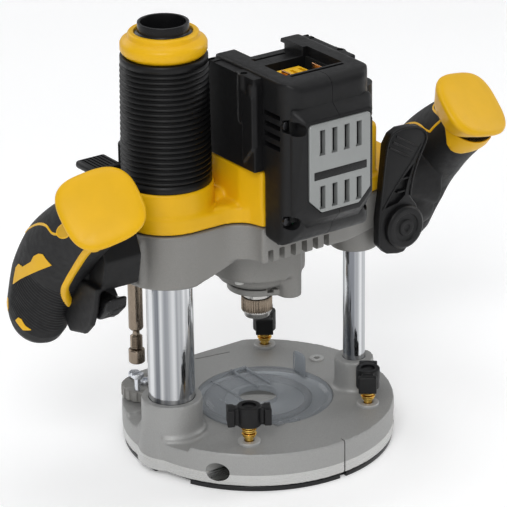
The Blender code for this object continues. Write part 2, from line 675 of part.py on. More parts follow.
def housing_half(side):
    """One half of the electronics housing, with a battery rail along its top."""
    near = GAP / 2 * side
    far = HOUSE_HALF_W * side
    front, back = HOUSE_FRONT, HOUSE_BACK
    rear_floor = COVER_TOP + GAP
    step = SHELF_FRONT - GAP
    low_edge = HOUSE_BOTTOM
    outline = [(front, HOUSE_TOP - 4), (front, low_edge + 14), (front + 4, low_edge + 4)]
    outline += [(front + 12, low_edge), (step, low_edge + 3), (step, rear_floor), (back, rear_floor)]
    outline += [(back, HOUSE_TOP), (front + 4, HOUSE_TOP)]
    low, high = sorted((near, far))
    inner_low, inner_high = sorted((-5 * side, (HOUSE_HALF_W - WALL) * side))
    rail_low, rail_high = sorted((-5 * side, RAIL_GAP_HALF * side))
    panel_low, panel_high = sorted((near, (GRILLE_HALF_W + PANEL_RIM) * side))
    grille_low, grille_high = sorted((-5 * side, (GRILLE_HALF_W + GAP) * side))
    floor = HOUSE_TOP - RAIL_T
    lip = PANEL_T - WALL
    panel_bottom, panel_top = GRILLE_BOTTOM - PANEL_RIM, GRILLE_TOP + PANEL_RIM
    grille_front, grille_back = front - PANEL_T - 1, front - lip
    joins = [box((panel_low, front - PANEL_T, panel_bottom), (panel_high, front + 1, panel_top))]
    cuts = [
        box((inner_low, front + WALL, HOUSE_BOTTOM + 6), (inner_high, step - WALL, floor - WALL)),
        box((inner_low, step - WALL - 1, rear_floor + WALL), (inner_high, back - WALL, floor - WALL)),
        box((rail_low, WELL_FRONT, floor - WALL - 1), (rail_high, WELL_BACK, HOUSE_TOP + 1)),
        box((rail_low, WELL_BACK - 1, floor), (rail_high, back + 1, HOUSE_TOP + 1)),
        box((-16, back - 8, floor - WALL - 1), (16, back - 5, floor + 1)),
        box((grille_low, grille_front, GRILLE_BOTTOM - GAP), (grille_high, grille_back, GRILLE_TOP + GAP)),
    ]
    for z in SLOT_ROWS_Z:
        for x in SLOT_COLUMNS_X:
            low_corner = (x - 1.2, grille_front, z - 7)
            cuts.append(box(low_corner, (x + 1.2, front + WALL + 1, z + 7)))
    outer = sorted(((HOUSE_HALF_W - WALL - 1) * side, (HOUSE_HALF_W + 1) * side))
    for i in range(SIDE_VENTS):
        z = SIDE_VENT_Z + SIDE_VENT_PITCH * i
        cuts.append(box((outer[0], front + 11, z), (outer[1], front + 25, z + 3)))
    name = "left_housing" if side < 0 else "right_housing"
    node(name, BLACK, HEAD, slab(outline, low, high, "X"), joins, cuts)


def build_housing():
    """Electronics housing: two halves, grille, side covers, board and battery contacts."""
    housing_half(-1)
    housing_half(1)
    front = HOUSE_FRONT - PANEL_T + WALL - GAP
    chamfer = 8.0
    w = GRILLE_HALF_W
    outline = [(-w, GRILLE_TOP), (-w, GRILLE_BOTTOM + chamfer), (-w + chamfer, GRILLE_BOTTOM)]
    outline += [(w - chamfer, GRILLE_BOTTOM), (w, GRILLE_BOTTOM + chamfer), (w, GRILLE_TOP)]
    slots = []
    for z in SLOT_ROWS_Z:
        for x in SLOT_COLUMNS_X:
            slots.append(box((x - 1.6, front - 20, z - 8), (x + 1.6, front + 20, z + 8)))
    node("vent_grille", SILVER, HEAD, slab(outline, front - GRILLE_T, front, "Y"), (), slots)
    for name, side in (("left_side_cover", -1), ("right_side_cover", 1)):
        low, high = sorted(((HOUSE_HALF_W + GAP) * side, (HOUSE_HALF_W + SIDE_COVER_T) * side))
        base = box((low, -52, COVER_TOP + 10), (high, HOUSE_BACK - 1, HOUSE_TOP - 1), 3.0)
        node(name, BLACK, HEAD, base)
    board_y = HOUSE_FRONT + WALL + 4
    board = box((-24, board_y, HOUSE_BOTTOM + 12), (24, board_y + 1.6, HOUSE_TOP - 22))
    node("control_board", BOARD, HEAD, board)
    top = HOUSE_TOP - RAIL_T - 3
    block = box((-12, WELL_FRONT + 8, top - 18), (12, WELL_BACK - 1, top), 1.0)
    slots = []
    for x in CONTACTS_X:
        slots.append(box((x - 1.0, WELL_FRONT + 12, top - 12), (x + 1.0, WELL_BACK - 5, top + 1)))
    node("terminal_block", YELLOW, HEAD, block, (), slots)
    for i, x in enumerate(CONTACTS_X):
        blade = box((x - 0.5, WELL_FRONT + 13, top - 12 + GAP), (x + 0.5, WELL_BACK - 6, top + 2))
        node(f"contact_blade_{i + 1}", COPPER, HEAD, blade)


def build_motor():
    """Stator and bearings in the head, and everything that turns with the spindle."""
    low, high = STATOR_Z
    node("stator", STEEL, HEAD, tube(STATOR_R, STATOR_R - STATOR_WALL, low, high, (0, 0), 32))
    radius, seat, width = LOWER_BEARING
    node("lower_bearing", STEEL, HEAD, tube(radius, SPINDLE_R + RUN, seat, seat + width - 1, (0, 0), 28))
    radius, top_seat, top_width = UPPER_BEARING
    shaft_top = top_seat + top_width
    node("upper_bearing", STEEL, HEAD, tube(radius, SHAFT_R + RUN, top_seat, shaft_top, (0, 0), 24))
    spin = empty("spindle_axis", (0, 0, NUT_BOTTOM), HEAD)
    collar = seat + width
    bore = COLLET_R + GAP
    foot = NUT_BOTTOM + NUT_H + GAP
    profile = [(0, shaft_top), (SHAFT_R, shaft_top), (SHAFT_R, collar), (SPINDLE_R, collar)]
    profile += [(SPINDLE_R, foot), (bore, foot), (bore, COLLET_DEPTH_Z), (0, COLLET_DEPTH_Z)]
    node("spindle", STEEL, spin, turned(profile, (0, 0), 28))
    node("rotor", STEEL, spin, tube(ROTOR_R, SHAFT_R + GAP, low - 2, high + 2, (0, 0), 24))
    fan = tube(SHAFT_R + 6, SHAFT_R + GAP, collar + GAP, low - 3, (0, 0), 24)
    blades = []
    for i in range(FAN_BLADES):
        a = 2 * math.pi * i / FAN_BLADES
        start = (math.cos(a) * (SHAFT_R + 4), math.sin(a) * (SHAFT_R + 4), collar + 5)
        end = (math.cos(a + 0.35) * FAN_R, math.sin(a + 0.35) * FAN_R, collar + 5)
        blades.append(spar(start, end, 2.4, 2.4, 6))
    node("cooling_fan", BLACK, spin, fan, blades)
    inner = COLLET_R + GAP
    nut_top = NUT_BOTTOM + NUT_H
    profile = [(NUT_R, nut_top), (NUT_R, NUT_BOTTOM + 3), (NUT_R - 2, NUT_BOTTOM)]
    profile += [(inner, NUT_BOTTOM), (inner, nut_top)]
    node("collet_nut", NICKEL, spin, turned(profile, (0, 0), 24))
    node("collet", STEEL, spin, tube(COLLET_R, COLLET_BORE_R, NUT_BOTTOM - 1, nut_top + 4, (0, 0), 20))
    button = empty("lock_button_axis", (0, BODY_R, LOCK_Z), HEAD)
    inner_end = BODY_R - 5 + GAP + LOCK_TRAVEL
    plunger = rod(LOCK_R, inner_end, BODY_R + LOCK_TRAVEL + LOCK_PROUD, (0, LOCK_Z), "Y", sides=20)
    node("spindle_lock_button", BLACK, button, plunger)


# ---------------------------------------------------------------- depth stop

def build_depth_stop():
    """Depth rod with its fine adjuster, the clamp lever, and the stepped turret on the base."""
    body = empty("depth_rod_axis", (*ROD_AT, DEPTH_ROD_BOTTOM), HEAD)
    tip = DEPTH_TIP_R
    profile = [(0, DEPTH_ROD_TOP), (DEPTH_ROD_R, DEPTH_ROD_TOP), (DEPTH_ROD_R, DEPTH_ROD_BOTTOM)]
    profile += [(tip, DEPTH_ROD_BOTTOM), (tip, DEPTH_TIP_BOTTOM), (0, DEPTH_TIP_BOTTOM)]
    collar = rod(TIP_COLLAR_R, DEPTH_TIP_BOTTOM + 1, DEPTH_TIP_BOTTOM + 10, ROD_AT, sides=20)
    node("depth_rod", NICKEL, body, turned(profile, ROD_AT, 20), [collar])
    adjust = empty("fine_adjuster_axis", (*ROD_AT, DEPTH_ROD_TOP), body)
    crown = DEPTH_ROD_TOP + ADJUSTER_H
    knob = rod(ADJUSTER_R, DEPTH_ROD_TOP + GAP, crown, ROD_AT, sides=24)
    button = rod(ADJUSTER_R - 2.5, crown - 2, crown + 3, ROD_AT, sides=20)
    node("fine_adjust_knob", BLACK, adjust, knob, [button])
    x = ROD_AT[0] - LUG_R
    lever = empty("rod_clamp_axis", (x, ROD_AT[1], ROD_LEVER_Z), HEAD)
    hub = rod(7.0, x - 9 - GAP, x - GAP, (ROD_AT[1], ROD_LEVER_Z), "X", sides=20)
    y, z, top = ROD_AT[1], ROD_LEVER_Z, ROD_LEVER_Z + ROD_LEVER_L
    arm = slab([(y - 5, z), (y + 5, z), (y + 3, top), (y - 3, top)], x - 8, x - 4, "X")
    paddle = box((x - 24, y - 11, top - 3), (x - 3, y + 11, top + 2), 1.5)
    node("rod_clamp_lever", BLACK, lever, hub, [arm, paddle])
    turn = empty("turret_axis", (*TURRET_AT, BASE_TOP), ROOT)
    low = BASE_TOP + TURRET_LIFT + GAP
    high = low + TURRET_T
    reach = math.dist(TURRET_AT, ROD_AT)
    towards = math.degrees(math.atan2(ROD_AT[1] - TURRET_AT[1], ROD_AT[0] - TURRET_AT[0]))
    spots = [arc(TURRET_AT, reach, towards + 120 * i, towards + 120 * i, 1)[0] for i in range(3)]
    cuts = [rod(STOP_SCREW_R + GAP, low + 1.5, high + 1, at, sides=16) for at in spots]
    cuts.append(rod(TURRET_PIN_R + GAP, low - 1, high + 1, TURRET_AT, sides=16))
    node("stop_turret", CAST, turn, rod(TURRET_R, low, high, TURRET_AT, sides=32), (), cuts)
    pin_top = high + 2.5
    profile = [(0, pin_top), (4.0, pin_top), (4.0, high + GAP), (TURRET_PIN_R, high + GAP)]
    profile += [(TURRET_PIN_R, ROD_Z + 3), (0, ROD_Z + 3)]
    node("turret_screw", STEEL, BASE, turned(profile, TURRET_AT, 16))
    for i, (at, lift) in enumerate(zip(spots, STOP_SCREW_LIFTS)):
        shank = rod(STOP_SCREW_R, low + 1.5 + GAP, high + lift, at, sides=16)
        head = rod(STOP_HEAD_R, high + lift - 3, high + lift, at, sides=6)
        node(f"stop_screw_{i + 1}", STEEL, turn, shank, [head])


# ---------------------------------------------------------------- handles

def grip_sections(side):
    """Rings along the bowed axis of a grip, from its low end to its top."""
    low, top = Vector((0, *GRIP_LOW)), Vector((0, *GRIP_TOP))
    along = (top - low).normalized()
    out = Vector((0, along.z, -along.y))
    if out.z < 0:
        out = -out
    u = Vector((1, 0, 0))
    rows = []
    for t, share in GRIP_SHARES:
        bow = GRIP_BOW * math.sin(math.pi * min(max(t, 0.0), 1.0))
        centre = Vector((GRIP_X * side, 0, 0)) + low + (top - low) * t + out * bow
        rows.append((centre, u, out, GRIP_HALF_W * share, GRIP_HALF_D * share))
    return rows


def cap_sections(side):
    """Rings of the thumb pad: a neck, a flared rim and a domed face."""
    normal = Vector((CAP_SPLAY * side, -0.64, 0.68)).normalized()
    u = Vector((1, 0, 0))
    u = (u - normal * u.dot(normal)).normalized()
    v = normal.cross(u)
    centre = Vector((GRIP_X * side, *CAP_AT))
    rows = []
    neck = [(-CAP_T, 0.70), (-CAP_T * 0.55, 0.82), (-CAP_T * 0.2, 0.97)]
    for depth, share in neck + [(0.0, 1.0), (2.5, 0.93), (4.0, 0.75)]:
        rows.append((centre + normal * depth, u, v, CAP_HALF_W * share, CAP_HALF_H * share))
    return rows


def build_handle(name, side):
    """A leaning grip with its arm to the head, and the pad on top."""
    rows = grip_sections(side)
    cap_rows = cap_sections(side)
    normal = (cap_rows[1][0] - cap_rows[0][0]).normalized()
    back = cap_rows[0][0] - normal * GAP
    face = (back, cap_rows[0][1], cap_rows[0][2], 60.0, 60.0)
    beyond = (back + normal * 60, cap_rows[0][1], cap_rows[0][2], 60.0, 60.0)
    x_in = (ARM_INNER_X + GAP) * side
    x_out = (GRIP_X - 6) * side
    y_axis, z_axis = Vector((0, 1, 0)), Vector((0, 0, 1))
    arm = loft([
        (Vector((x_in, -3, 147)), y_axis, z_axis, 14, 13),
        (Vector(((ARM_INNER_X + 12) * side, -2, 147)), y_axis, z_axis, 14, 16),
        (Vector((x_out, 0, 145)), y_axis, z_axis, 17, 22),
    ], 16, 2.8)
    guard = loft([
        (Vector(((ARM_INNER_X + 13) * side, -4, 120)), y_axis, z_axis, 12, 12),
        (Vector((x_out, 6, 126)), y_axis, z_axis, 15, 16),
    ], 16, 2.6)
    cuts = [loft([face, beyond], 8, 2.0)]
    if side < 0:
        x, y, z = TRIGGER_AT
        low = (x - TRIGGER_POCKET_HALF_W, y - 22, z - 18)
        cuts.append(box(low, (x + TRIGGER_POCKET_HALF_W, y + 4, z + 7)))
    node(f"{name}_handle", GRIP, HEAD, loft(rows), [arm, guard], cuts)
    node(f"{name}_thumb_pad", YELLOW, HEAD, loft(cap_rows, 20, 2.7))


def build_controls():
    """Trigger in the left handle and the plunge lock lever beside the right one."""
    x, y, z = TRIGGER_AT
    body = empty("trigger_axis", TRIGGER_AT, HEAD)
    outline = [(y - 1, z + 1), (y - 21, z + 1), (y - 34, z + 6)]
    outline += [(y - 33, z - 3), (y - 22, z - 11), (y - 2, z - 14)]
    trigger = slab(outline, x - TRIGGER_HALF_W, x + TRIGGER_HALF_W, "X")
    node("power_trigger", BLACK, body, trigger)
    x, y, z = LEVER_AT
    lock = empty("plunge_lock_axis", LEVER_AT, HEAD)
    front = y - LEVER_T
    hub = rod(LEVER_HUB_R, front, y, (x, z), "Y", sides=28)
    top = z + LEVER_L
    outline = [(x - 12, z - 6), (x - 8, z - 16), (x, z - 18), (x + 8, z - 12), (x + 12, z + 8)]
    outline += [(x + 19, top - 14), (x + 14, top), (x - 4, top + 2), (x - 14, top - 8), (x - 17, top - 30)]
    paddle = slab(outline, front + 2, y - 1, "Y")
    bore = rod(LEVER_SHAFT_R + GAP, front - 1, y + 1, (x, z), "Y", sides=16)
    node("plunge_lock_lever", BLACK, lock, hub, [paddle], [bore])
    shaft = rod(LEVER_SHAFT_R, front + 1, -26, (x, z), "Y", sides=16)
    node("plunge_lock_shaft", STEEL, lock, shaft)


def centre_on_floor(root):
    """Moves the model so that the middle of its footprint is the origin."""
    bpy.context.view_layer.update()
    graph = bpy.context.evaluated_depsgraph_get()
    xs, ys = [], []
    for piece in PARTS.objects:
        solid = piece.evaluated_get(graph)
        mesh = solid.to_mesh()
        for vertex in mesh.vertices:
            place = solid.matrix_world @ vertex.co
            xs.append(place.x)
            ys.append(place.y)
        solid.to_mesh_clear()
    root.location.x -= (min(xs) + max(xs)) / 2
    root.location.y -= (min(ys) + max(ys)) / 2
    bpy.context.view_layer.update()


for old in list(bpy.data.objects):
    bpy.data.objects.remove(old)

PARTS = collection("plunge_router")
HELPERS = collection("cutters")

CAST = finish("cast_aluminium", (0.36, 0.35, 0.33), 0.5, 0.6)
CHROME = finish("chrome", (0.75, 0.76, 0.78), 0.12, 1.0)
STEEL = finish("steel", (0.5, 0.5, 0.5), 0.35, 1.0)
NICKEL = finish("nickel", (0.45, 0.42, 0.38), 0.3, 1.0)
BRASS = finish("brass", (0.6, 0.42, 0.12), 0.3, 1.0)
BRONZE = finish("bronze", (0.42, 0.33, 0.22), 0.4, 1.0)
COPPER = finish("copper", (0.6, 0.28, 0.12), 0.3, 1.0)
YELLOW = finish("yellow_plastic", (0.80, 0.50, 0.02), 0.45, 0.0)
BLACK = finish("black_plastic", (0.02, 0.02, 0.022), 0.5, 0.0)
PHENOLIC = finish("phenolic", (0.02, 0.02, 0.02), 0.4, 0.0)
RUBBER = finish("bellows_rubber", (0.02, 0.02, 0.02), 0.6, 0.0)
GRIP = finish("grip_rubber", (0.025, 0.025, 0.025), 0.75, 0.0)
SILVER = finish("silver_plastic", (0.45, 0.46, 0.45), 0.4, 0.4)
SMOKE = finish("smoke_polycarbonate", (0.35, 0.37, 0.38), 0.1, 0.0)
BOARD = finish("circuit_board", (0.02, 0.12, 0.05), 0.5, 0.0)
LENS = finish("lens", (0.9, 0.9, 0.85), 0.1, 0.0)

ROOT = empty("router")
BASE = empty("base", (0, 0, 0), ROOT)
HEAD = empty("head", (0, 0, HEAD_BOTTOM), ROOT)

build_base()
build_clamps()
build_columns()
build_outlet()
build_casting()
build_cover()
build_housing()
build_motor()
build_depth_stop()
build_handle("left", -1)
build_handle("right", 1)
build_controls()
centre_on_floor(ROOT)
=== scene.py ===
"""Looks of a cordless plunge router: shells, castings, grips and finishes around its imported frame.

Sizes are millimetres from the spindle's axis and the underside of the sole plate.
"""

import math

import bmesh
import bpy
from bpy.props import FloatProperty, FloatVectorProperty, IntProperty, PointerProperty
from bpy.types import Operator, Panel, PropertyGroup
from mathutils import Matrix, Quaternion, Vector


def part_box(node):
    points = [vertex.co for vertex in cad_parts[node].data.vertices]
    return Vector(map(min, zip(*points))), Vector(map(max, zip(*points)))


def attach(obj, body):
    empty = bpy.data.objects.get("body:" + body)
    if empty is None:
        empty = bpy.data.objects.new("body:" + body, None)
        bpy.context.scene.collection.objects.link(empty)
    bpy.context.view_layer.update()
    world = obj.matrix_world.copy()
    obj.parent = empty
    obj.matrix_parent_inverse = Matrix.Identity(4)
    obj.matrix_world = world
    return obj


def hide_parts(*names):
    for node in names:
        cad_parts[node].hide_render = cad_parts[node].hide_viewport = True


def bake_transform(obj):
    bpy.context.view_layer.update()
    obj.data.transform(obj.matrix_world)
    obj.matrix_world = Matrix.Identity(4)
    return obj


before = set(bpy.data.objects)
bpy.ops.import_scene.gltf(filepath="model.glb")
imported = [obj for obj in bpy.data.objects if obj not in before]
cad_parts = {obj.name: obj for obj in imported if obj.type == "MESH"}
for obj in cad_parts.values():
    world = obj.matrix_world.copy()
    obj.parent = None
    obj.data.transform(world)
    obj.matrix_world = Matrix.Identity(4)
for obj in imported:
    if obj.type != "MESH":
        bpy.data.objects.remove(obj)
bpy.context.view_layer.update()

bl_info = {
    "name": "Plunge router looks",
    "version": (1, 0, 0),
    "blender": (4, 5, 0),
    "location": "3D View > Sidebar > Router",
    "description": "Builds the shells, castings, grips and finishes of a plunge router around its frame",
    "category": "Object",
}

MM = 0.001
SPINDLE_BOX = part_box("collet_nut")
AXIS = (Vector(SPINDLE_BOX[0]) + Vector(SPINDLE_BOX[1])) / 2


def mm(node):
    """A node's lowest and highest corners in millimetres from the spindle's axis."""
    low, high = (Vector(corner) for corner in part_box(node))
    shift = Vector((AXIS.x, AXIS.y, 0))
    return (low - shift) / MM, (high - shift) / MM


def middle(node):
    low, high = mm(node)
    return (low + high) / 2


def at(x, y, z):
    """A point in metres, from millimetres about the spindle's axis."""
    return Vector((x * MM + AXIS.x, y * MM + AXIS.y, z * MM))


DUST = middle("dust_column")
GUIDE = middle("guide_column")
ROD = middle("depth_rod")
TURRET = middle("stop_turret")
LEVER = middle("plunge_lock_shaft")

# Openings and bores that several pieces share, in millimetres.
THROAT_R = 30.0
RECESS_R = 43.0
RECESS_SPOT = (3, -3)
INSERT_GAP = 0.4
INSERT_DECK = 3.0
DUST_SOCKET_R = 18.8
GUIDE_SOCKET_R = 12.3
DUST_SEAT_R = 14.55
GUIDE_SEAT_R = 7.25
DUST_BORE_R = 14.8
GUIDE_BORE_R = 7.5
NOSE_BORE_R = 10.3
SOLE_SCREW_SPOT = (61, 21)


# ------------------------------------------------------------------ modelling by hand

def only(piece):
    """Leaves one object selected and active, in object mode."""
    if bpy.context.mode != "OBJECT":
        bpy.ops.object.mode_set(mode="OBJECT")
    bpy.ops.object.select_all(action="DESELECT")
    piece.select_set(True)
    bpy.context.view_layer.objects.active = piece
    return piece


def settle(piece):
    only(piece)
    bpy.ops.object.transform_apply(location=True, rotation=True, scale=True)
    return piece


def applied(piece, kind, **settings):
    """Adds one modifier, sets it and applies it."""
    only(piece)
    change = piece.modifiers.new(kind.lower(), kind)
    for name, value in settings.items():
        setattr(change, name, value)
    bpy.ops.object.modifier_apply(modifier=change.name)
    return piece


def pick(piece, kind, chosen):
    """Goes to edit mode with only the chosen verts, edges or faces selected."""
    only(piece)
    bpy.ops.object.mode_set(mode="EDIT")
    bpy.ops.mesh.select_mode(type=kind)
    bpy.ops.mesh.select_all(action="DESELECT")
    draft = bmesh.from_edit_mesh(piece.data)
    for part in {"VERT": draft.verts, "EDGE": draft.edges, "FACE": draft.faces}[kind]:
        if chosen(part):
            part.select_set(True)
    draft.select_flush_mode()
    bmesh.update_edit_mesh(piece.data)


def done(piece):
    bpy.ops.object.mode_set(mode="OBJECT")
    return piece


def outwards(piece, merge=1e-6):
    """Merges doubles and turns every face outwards."""
    only(piece)
    bpy.ops.object.mode_set(mode="EDIT")
    bpy.ops.mesh.select_all(action="SELECT")
    bpy.ops.mesh.remove_doubles(threshold=merge)
    bpy.ops.mesh.normals_make_consistent(inside=False)
    return done(piece)


def eased(piece, edge, steps=3, sharper=30):
    """Rounds every edge that turns by more than an angle."""
    return applied(piece, "BEVEL", width=edge * MM, segments=steps, limit_method="ANGLE",
                   angle_limit=math.radians(sharper), harden_normals=False)


def bar(radius, low, high, spot=(0, 0), axis="Z", top=None, sides=64, edge=0.0):
    """A round bar or cone along an axis; spot holds its two other coordinates."""
    half = (low + high) / 2
    place = {"Z": (*spot, half), "Y": (spot[0], half, spot[1]), "X": (half, *spot)}[axis]
    turn = {"Z": (0, 0, 0), "Y": (-math.pi / 2, 0, 0), "X": (0, math.pi / 2, 0)}[axis]
    bpy.ops.mesh.primitive_cone_add(vertices=sides, radius1=radius * MM,
                                    radius2=(radius if top is None else top) * MM,
                                    depth=(high - low) * MM, location=at(*place), rotation=turn)
    piece = settle(bpy.context.object)
    return eased(piece, edge) if edge else piece


def block(low, high, edge=0.0, steps=3):
    """A block between two corners, its edges rounded."""
    centre = [(a + b) / 2 for a, b in zip(low, high)]
    bpy.ops.mesh.primitive_cube_add(size=1, location=at(*centre))
    piece = bpy.context.object
    piece.scale = [(b - a) * MM for a, b in zip(low, high)]
    settle(piece)
    return eased(piece, edge, steps) if edge else piece


def put(u, v, w, axis):
    """The point whose coordinate along an axis is w, with u and v in the two others."""
    return at(*{"Z": (u, v, w), "Y": (u, w, v), "X": (w, u, v)}[axis])


def ring_of(points):
    """A closed loop of vertices through points in metres, with no face."""
    bpy.ops.mesh.primitive_circle_add(vertices=len(points), fill_type="NOTHING")
    piece = settle(bpy.context.object)
    for vertex, point in zip(piece.data.vertices, points):
        vertex.co = point
    return piece


def plate(outline, low, high, axis="Z", edge=0.0, steps=3):
    """A flat outline drawn out to a thickness."""
    piece = ring_of([put(u, v, low, axis) for u, v in outline])
    rise = put(0, 0, high, axis) - put(0, 0, low, axis)
    pick(piece, "VERT", lambda part: True)
    bpy.ops.mesh.edge_face_add()
    bpy.ops.mesh.extrude_region_move(TRANSFORM_OT_translate={"value": rise})
    outwards(piece)
    return eased(piece, edge, steps) if edge else piece


def turned(profile, spot=(0, 0), steps=96, edge=0.0):
    """A closed profile of (radius, height) spun about an upright axis."""
    piece = ring_of([at(spot[0] + r, spot[1], z) for r, z in profile])
    pick(piece, "VERT", lambda part: True)
    bpy.ops.mesh.spin(steps=steps, dupli=False, angle=math.tau, center=at(*spot, 0), axis=(0, 0, 1))
    outwards(piece)
    return eased(piece, edge) if edge else piece


def skin(rings, capped=True):
    """A skin through rings of points, drawn out one ring at a time."""
    piece = ring_of(rings[0])
    pick(piece, "VERT", lambda part: True)
    if capped:
        bpy.ops.mesh.edge_face_add()
    for ring in rings[1:]:
        bpy.ops.mesh.extrude_region_move()
        draft = bmesh.from_edit_mesh(piece.data)
        draft.verts.ensure_lookup_table()
        for vertex, point in zip(draft.verts[-len(ring):], ring):
            vertex.co = point
        bmesh.update_edit_mesh(piece.data)
    return outwards(piece)


def wire(points, radius, closed=False, flat=1.0, smooth=True):
    """A round wire through points in metres."""
    bpy.ops.curve.primitive_nurbs_path_add()
    strand = bpy.context.object
    strand.location = (0, 0, 0)
    strand.data.splines.clear()
    spline = strand.data.splines.new("NURBS" if smooth else "POLY")
    spline.points.add(len(points) - 1)
    for knot, point in zip(spline.points, points):
        knot.co = (*point, 1.0)
    if smooth:
        spline.order_u = min(4, len(points))
        spline.use_endpoint_u = not closed
    spline.use_cyclic_u = closed
    strand.data.bevel_depth = radius * MM
    strand.data.bevel_resolution = 3
    strand.data.resolution_u = 6
    strand.data.use_fill_caps = True
    only(strand)
    bpy.ops.object.convert(target="MESH")
    return outwards(bpy.context.object)


def together(pieces):
    """Several objects as one object, still overlapping."""
    only(pieces[0])
    for piece in pieces:
        piece.select_set(True)
    if len(pieces) > 1:
        bpy.ops.object.join()
    return bpy.context.object


def combine(piece, tools, operation="DIFFERENCE"):
    """Cuts or joins with each tool in turn, and drops the tools."""
    for tool in tools:
        applied(piece, "BOOLEAN", operation=operation, solver="EXACT", object=tool)
        bpy.data.objects.remove(tool)
    return piece


def moulded(solids, hollows=(), voxel=1.0, passes=4):
    """Overlapping solids melted into one body with soft fillets, hollows cut first."""
    body = together(list(solids))
    applied(body, "REMESH", mode="VOXEL", voxel_size=voxel * MM, adaptivity=0.0)
    if hollows:
        combine(body, hollows)
        applied(body, "REMESH", mode="VOXEL", voxel_size=voxel * MM, adaptivity=0.0)
    return applied(body, "SMOOTH", factor=0.5, iterations=passes)


def moved(piece, matrix):
    piece.data.transform(matrix)
    return piece


def copied(piece, matrix):
    """A copy with its own mesh, placed by a matrix in metres."""
    other = piece.copy()
    other.data = piece.data.copy()
    bpy.context.collection.objects.link(other)
    other.data.transform(matrix)
    return other


def turn_about(spot, degrees, axis="Z"):
    """A matrix that turns about a point in millimetres."""
    place = Matrix.Translation(at(*spot))
    return place @ Matrix.Rotation(math.radians(degrees), 4, axis) @ place.inverted()


def arc(centre, radius, start, end, steps=12):
    points = []
    for i in range(steps + 1):
        a = math.radians(start + (end - start) * i / steps)
        points.append((centre[0] + radius * math.cos(a), centre[1] + radius * math.sin(a)))
    return points


def show(piece, name, look, body, replaces=(), sharp=35):
    """Names, shades and finishes a piece, and hands it to its body, if it has just one."""
    piece.name = name
    piece.data.materials.clear()
    piece.data.materials.append(look)
    only(piece)
    bpy.ops.object.shade_smooth_by_angle(angle=math.radians(sharp))
    if body:
        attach(piece, body)
    if replaces:
        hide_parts(*replaces)
    return piece


def refinish(look, *nodes):
    """A new finish on CAD nodes whose shape is already right."""
    for name in nodes:
        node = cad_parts[name]
        node.data.materials.clear()
        node.data.materials.append(look)


# ------------------------------------------------------------------ finishes

class Wire:
    """A shader socket that Python's arithmetic works on."""

    def __init__(self, look, socket):
        self.look = look
        self.socket = socket

    def maths(self, operation, first, second=None):
        values = (first,) if second is None else (first, second)
        return self.look.add("ShaderNodeMath", {"operation": operation}, *values)

    def __add__(self, other):
        return self.maths("ADD", self, other)

    def __sub__(self, other):
        return self.maths("SUBTRACT", self, other)

    def __rsub__(self, other):
        return self.maths("SUBTRACT", other, self)

    def __mul__(self, other):
        return self.maths("MULTIPLY", self, other)

    def __lt__(self, other):
        return self.maths("LESS_THAN", self, other)

    __radd__ = __add__
    __rmul__ = __mul__


class Look:
    """One finish: a Principled shader, with constants on its sockets."""

    def __init__(self, name, colour, rough, metal=0.0, **constants):
        self.material = bpy.data.materials.new(name)
        self.material.use_nodes = True
        self.tree = self.material.node_tree
        self.shader = self.tree.nodes["Principled BSDF"]
        self.colour = tuple(colour)[:3]
        self.feed("Base Color", (*self.colour, 1.0))
        self.feed("Roughness", rough)
        self.feed("Metallic", metal)
        for socket, value in constants.items():
            self.feed(socket.replace("_", " "), value)

    def feed(self, socket, value):
        """Sets or links one of the shader's sockets."""
        self.plug(self.shader.inputs[socket], value)
        return self

    def plug(self, socket, value):
        if isinstance(value, Wire):
            self.tree.links.new(value.socket, socket)
        else:
            socket.default_value = value

    def add(self, kind, settings=None, *values, out=0, **named):
        """Any node: its settings first, then the values or links of its sockets."""
        node = self.tree.nodes.new(kind)
        for name, value in (settings or {}).items():
            setattr(node, name, value)
        for socket, value in zip(node.inputs, values):
            self.plug(socket, value)
        for name, value in named.items():
            self.plug(node.inputs[name.replace("_", " ")], value)
        return Wire(self, node.outputs[out])

    def place(self, scale=(1, 1, 1)):
        """Object coordinates, stretched."""
        spot = self.add("ShaderNodeTexCoord", out="Object")
        return self.add("ShaderNodeMapping", {"vector_type": "POINT"}, Vector=spot, Scale=scale)

    def axis(self, name):
        """One object coordinate in millimetres."""
        split = self.add("ShaderNodeSeparateXYZ", None, self.add("ShaderNodeTexCoord", out="Object"),
                         out=name)
        return split * 1000.0

    def noise(self, size, detail=2.0, scale=(1, 1, 1), rough=0.5):
        """Grey noise whose grain is size millimetres."""
        return self.add("ShaderNodeTexNoise", None, Vector=self.place(scale), Scale=1000.0 / size,
                        Detail=detail, Roughness=rough)

    def ramp(self, value, low, high, bottom=0.0, top=1.0):
        return self.add("ShaderNodeMapRange", None, Value=value, From_Min=low, From_Max=high, To_Min=bottom,
                        To_Max=top)

    def blend(self, share, first, second):
        """Two colours mixed by a share."""
        node = self.tree.nodes.new("ShaderNodeMix")
        node.data_type = "RGBA"
        for socket, value in ((0, share), (6, first), (7, second)):
            if isinstance(value, tuple) and len(value) == 3:
                value = (*value, 1.0)
            self.plug(node.inputs[socket], value)
        return Wire(self, node.outputs[2])

    def bump(self, height, depth, strength=1.0, under=None):
        """Bumps depth millimetres deep, on the shader's normal."""
        values = {"Strength": strength, "Distance": depth * MM, "Height": height}
        if under:
            values["Normal"] = under
        return self.add("ShaderNodeBump", None, **values)

    def edge_wear_and_highlight(self, amount=0.25):
        """A mask of outer edges, broken up by noise: rubbed paint on castings, a painted highlight on
        mouldings.
        """
        corner = self.add("ShaderNodeNewGeometry", out="Pointiness")
        rim = self.ramp(corner, 0.53, 0.62)
        return rim * self.ramp(self.noise(2.5), 0.35, 0.65) * amount


def shade(colour, factor):
    return tuple(min(1.0, c * factor) for c in colour)


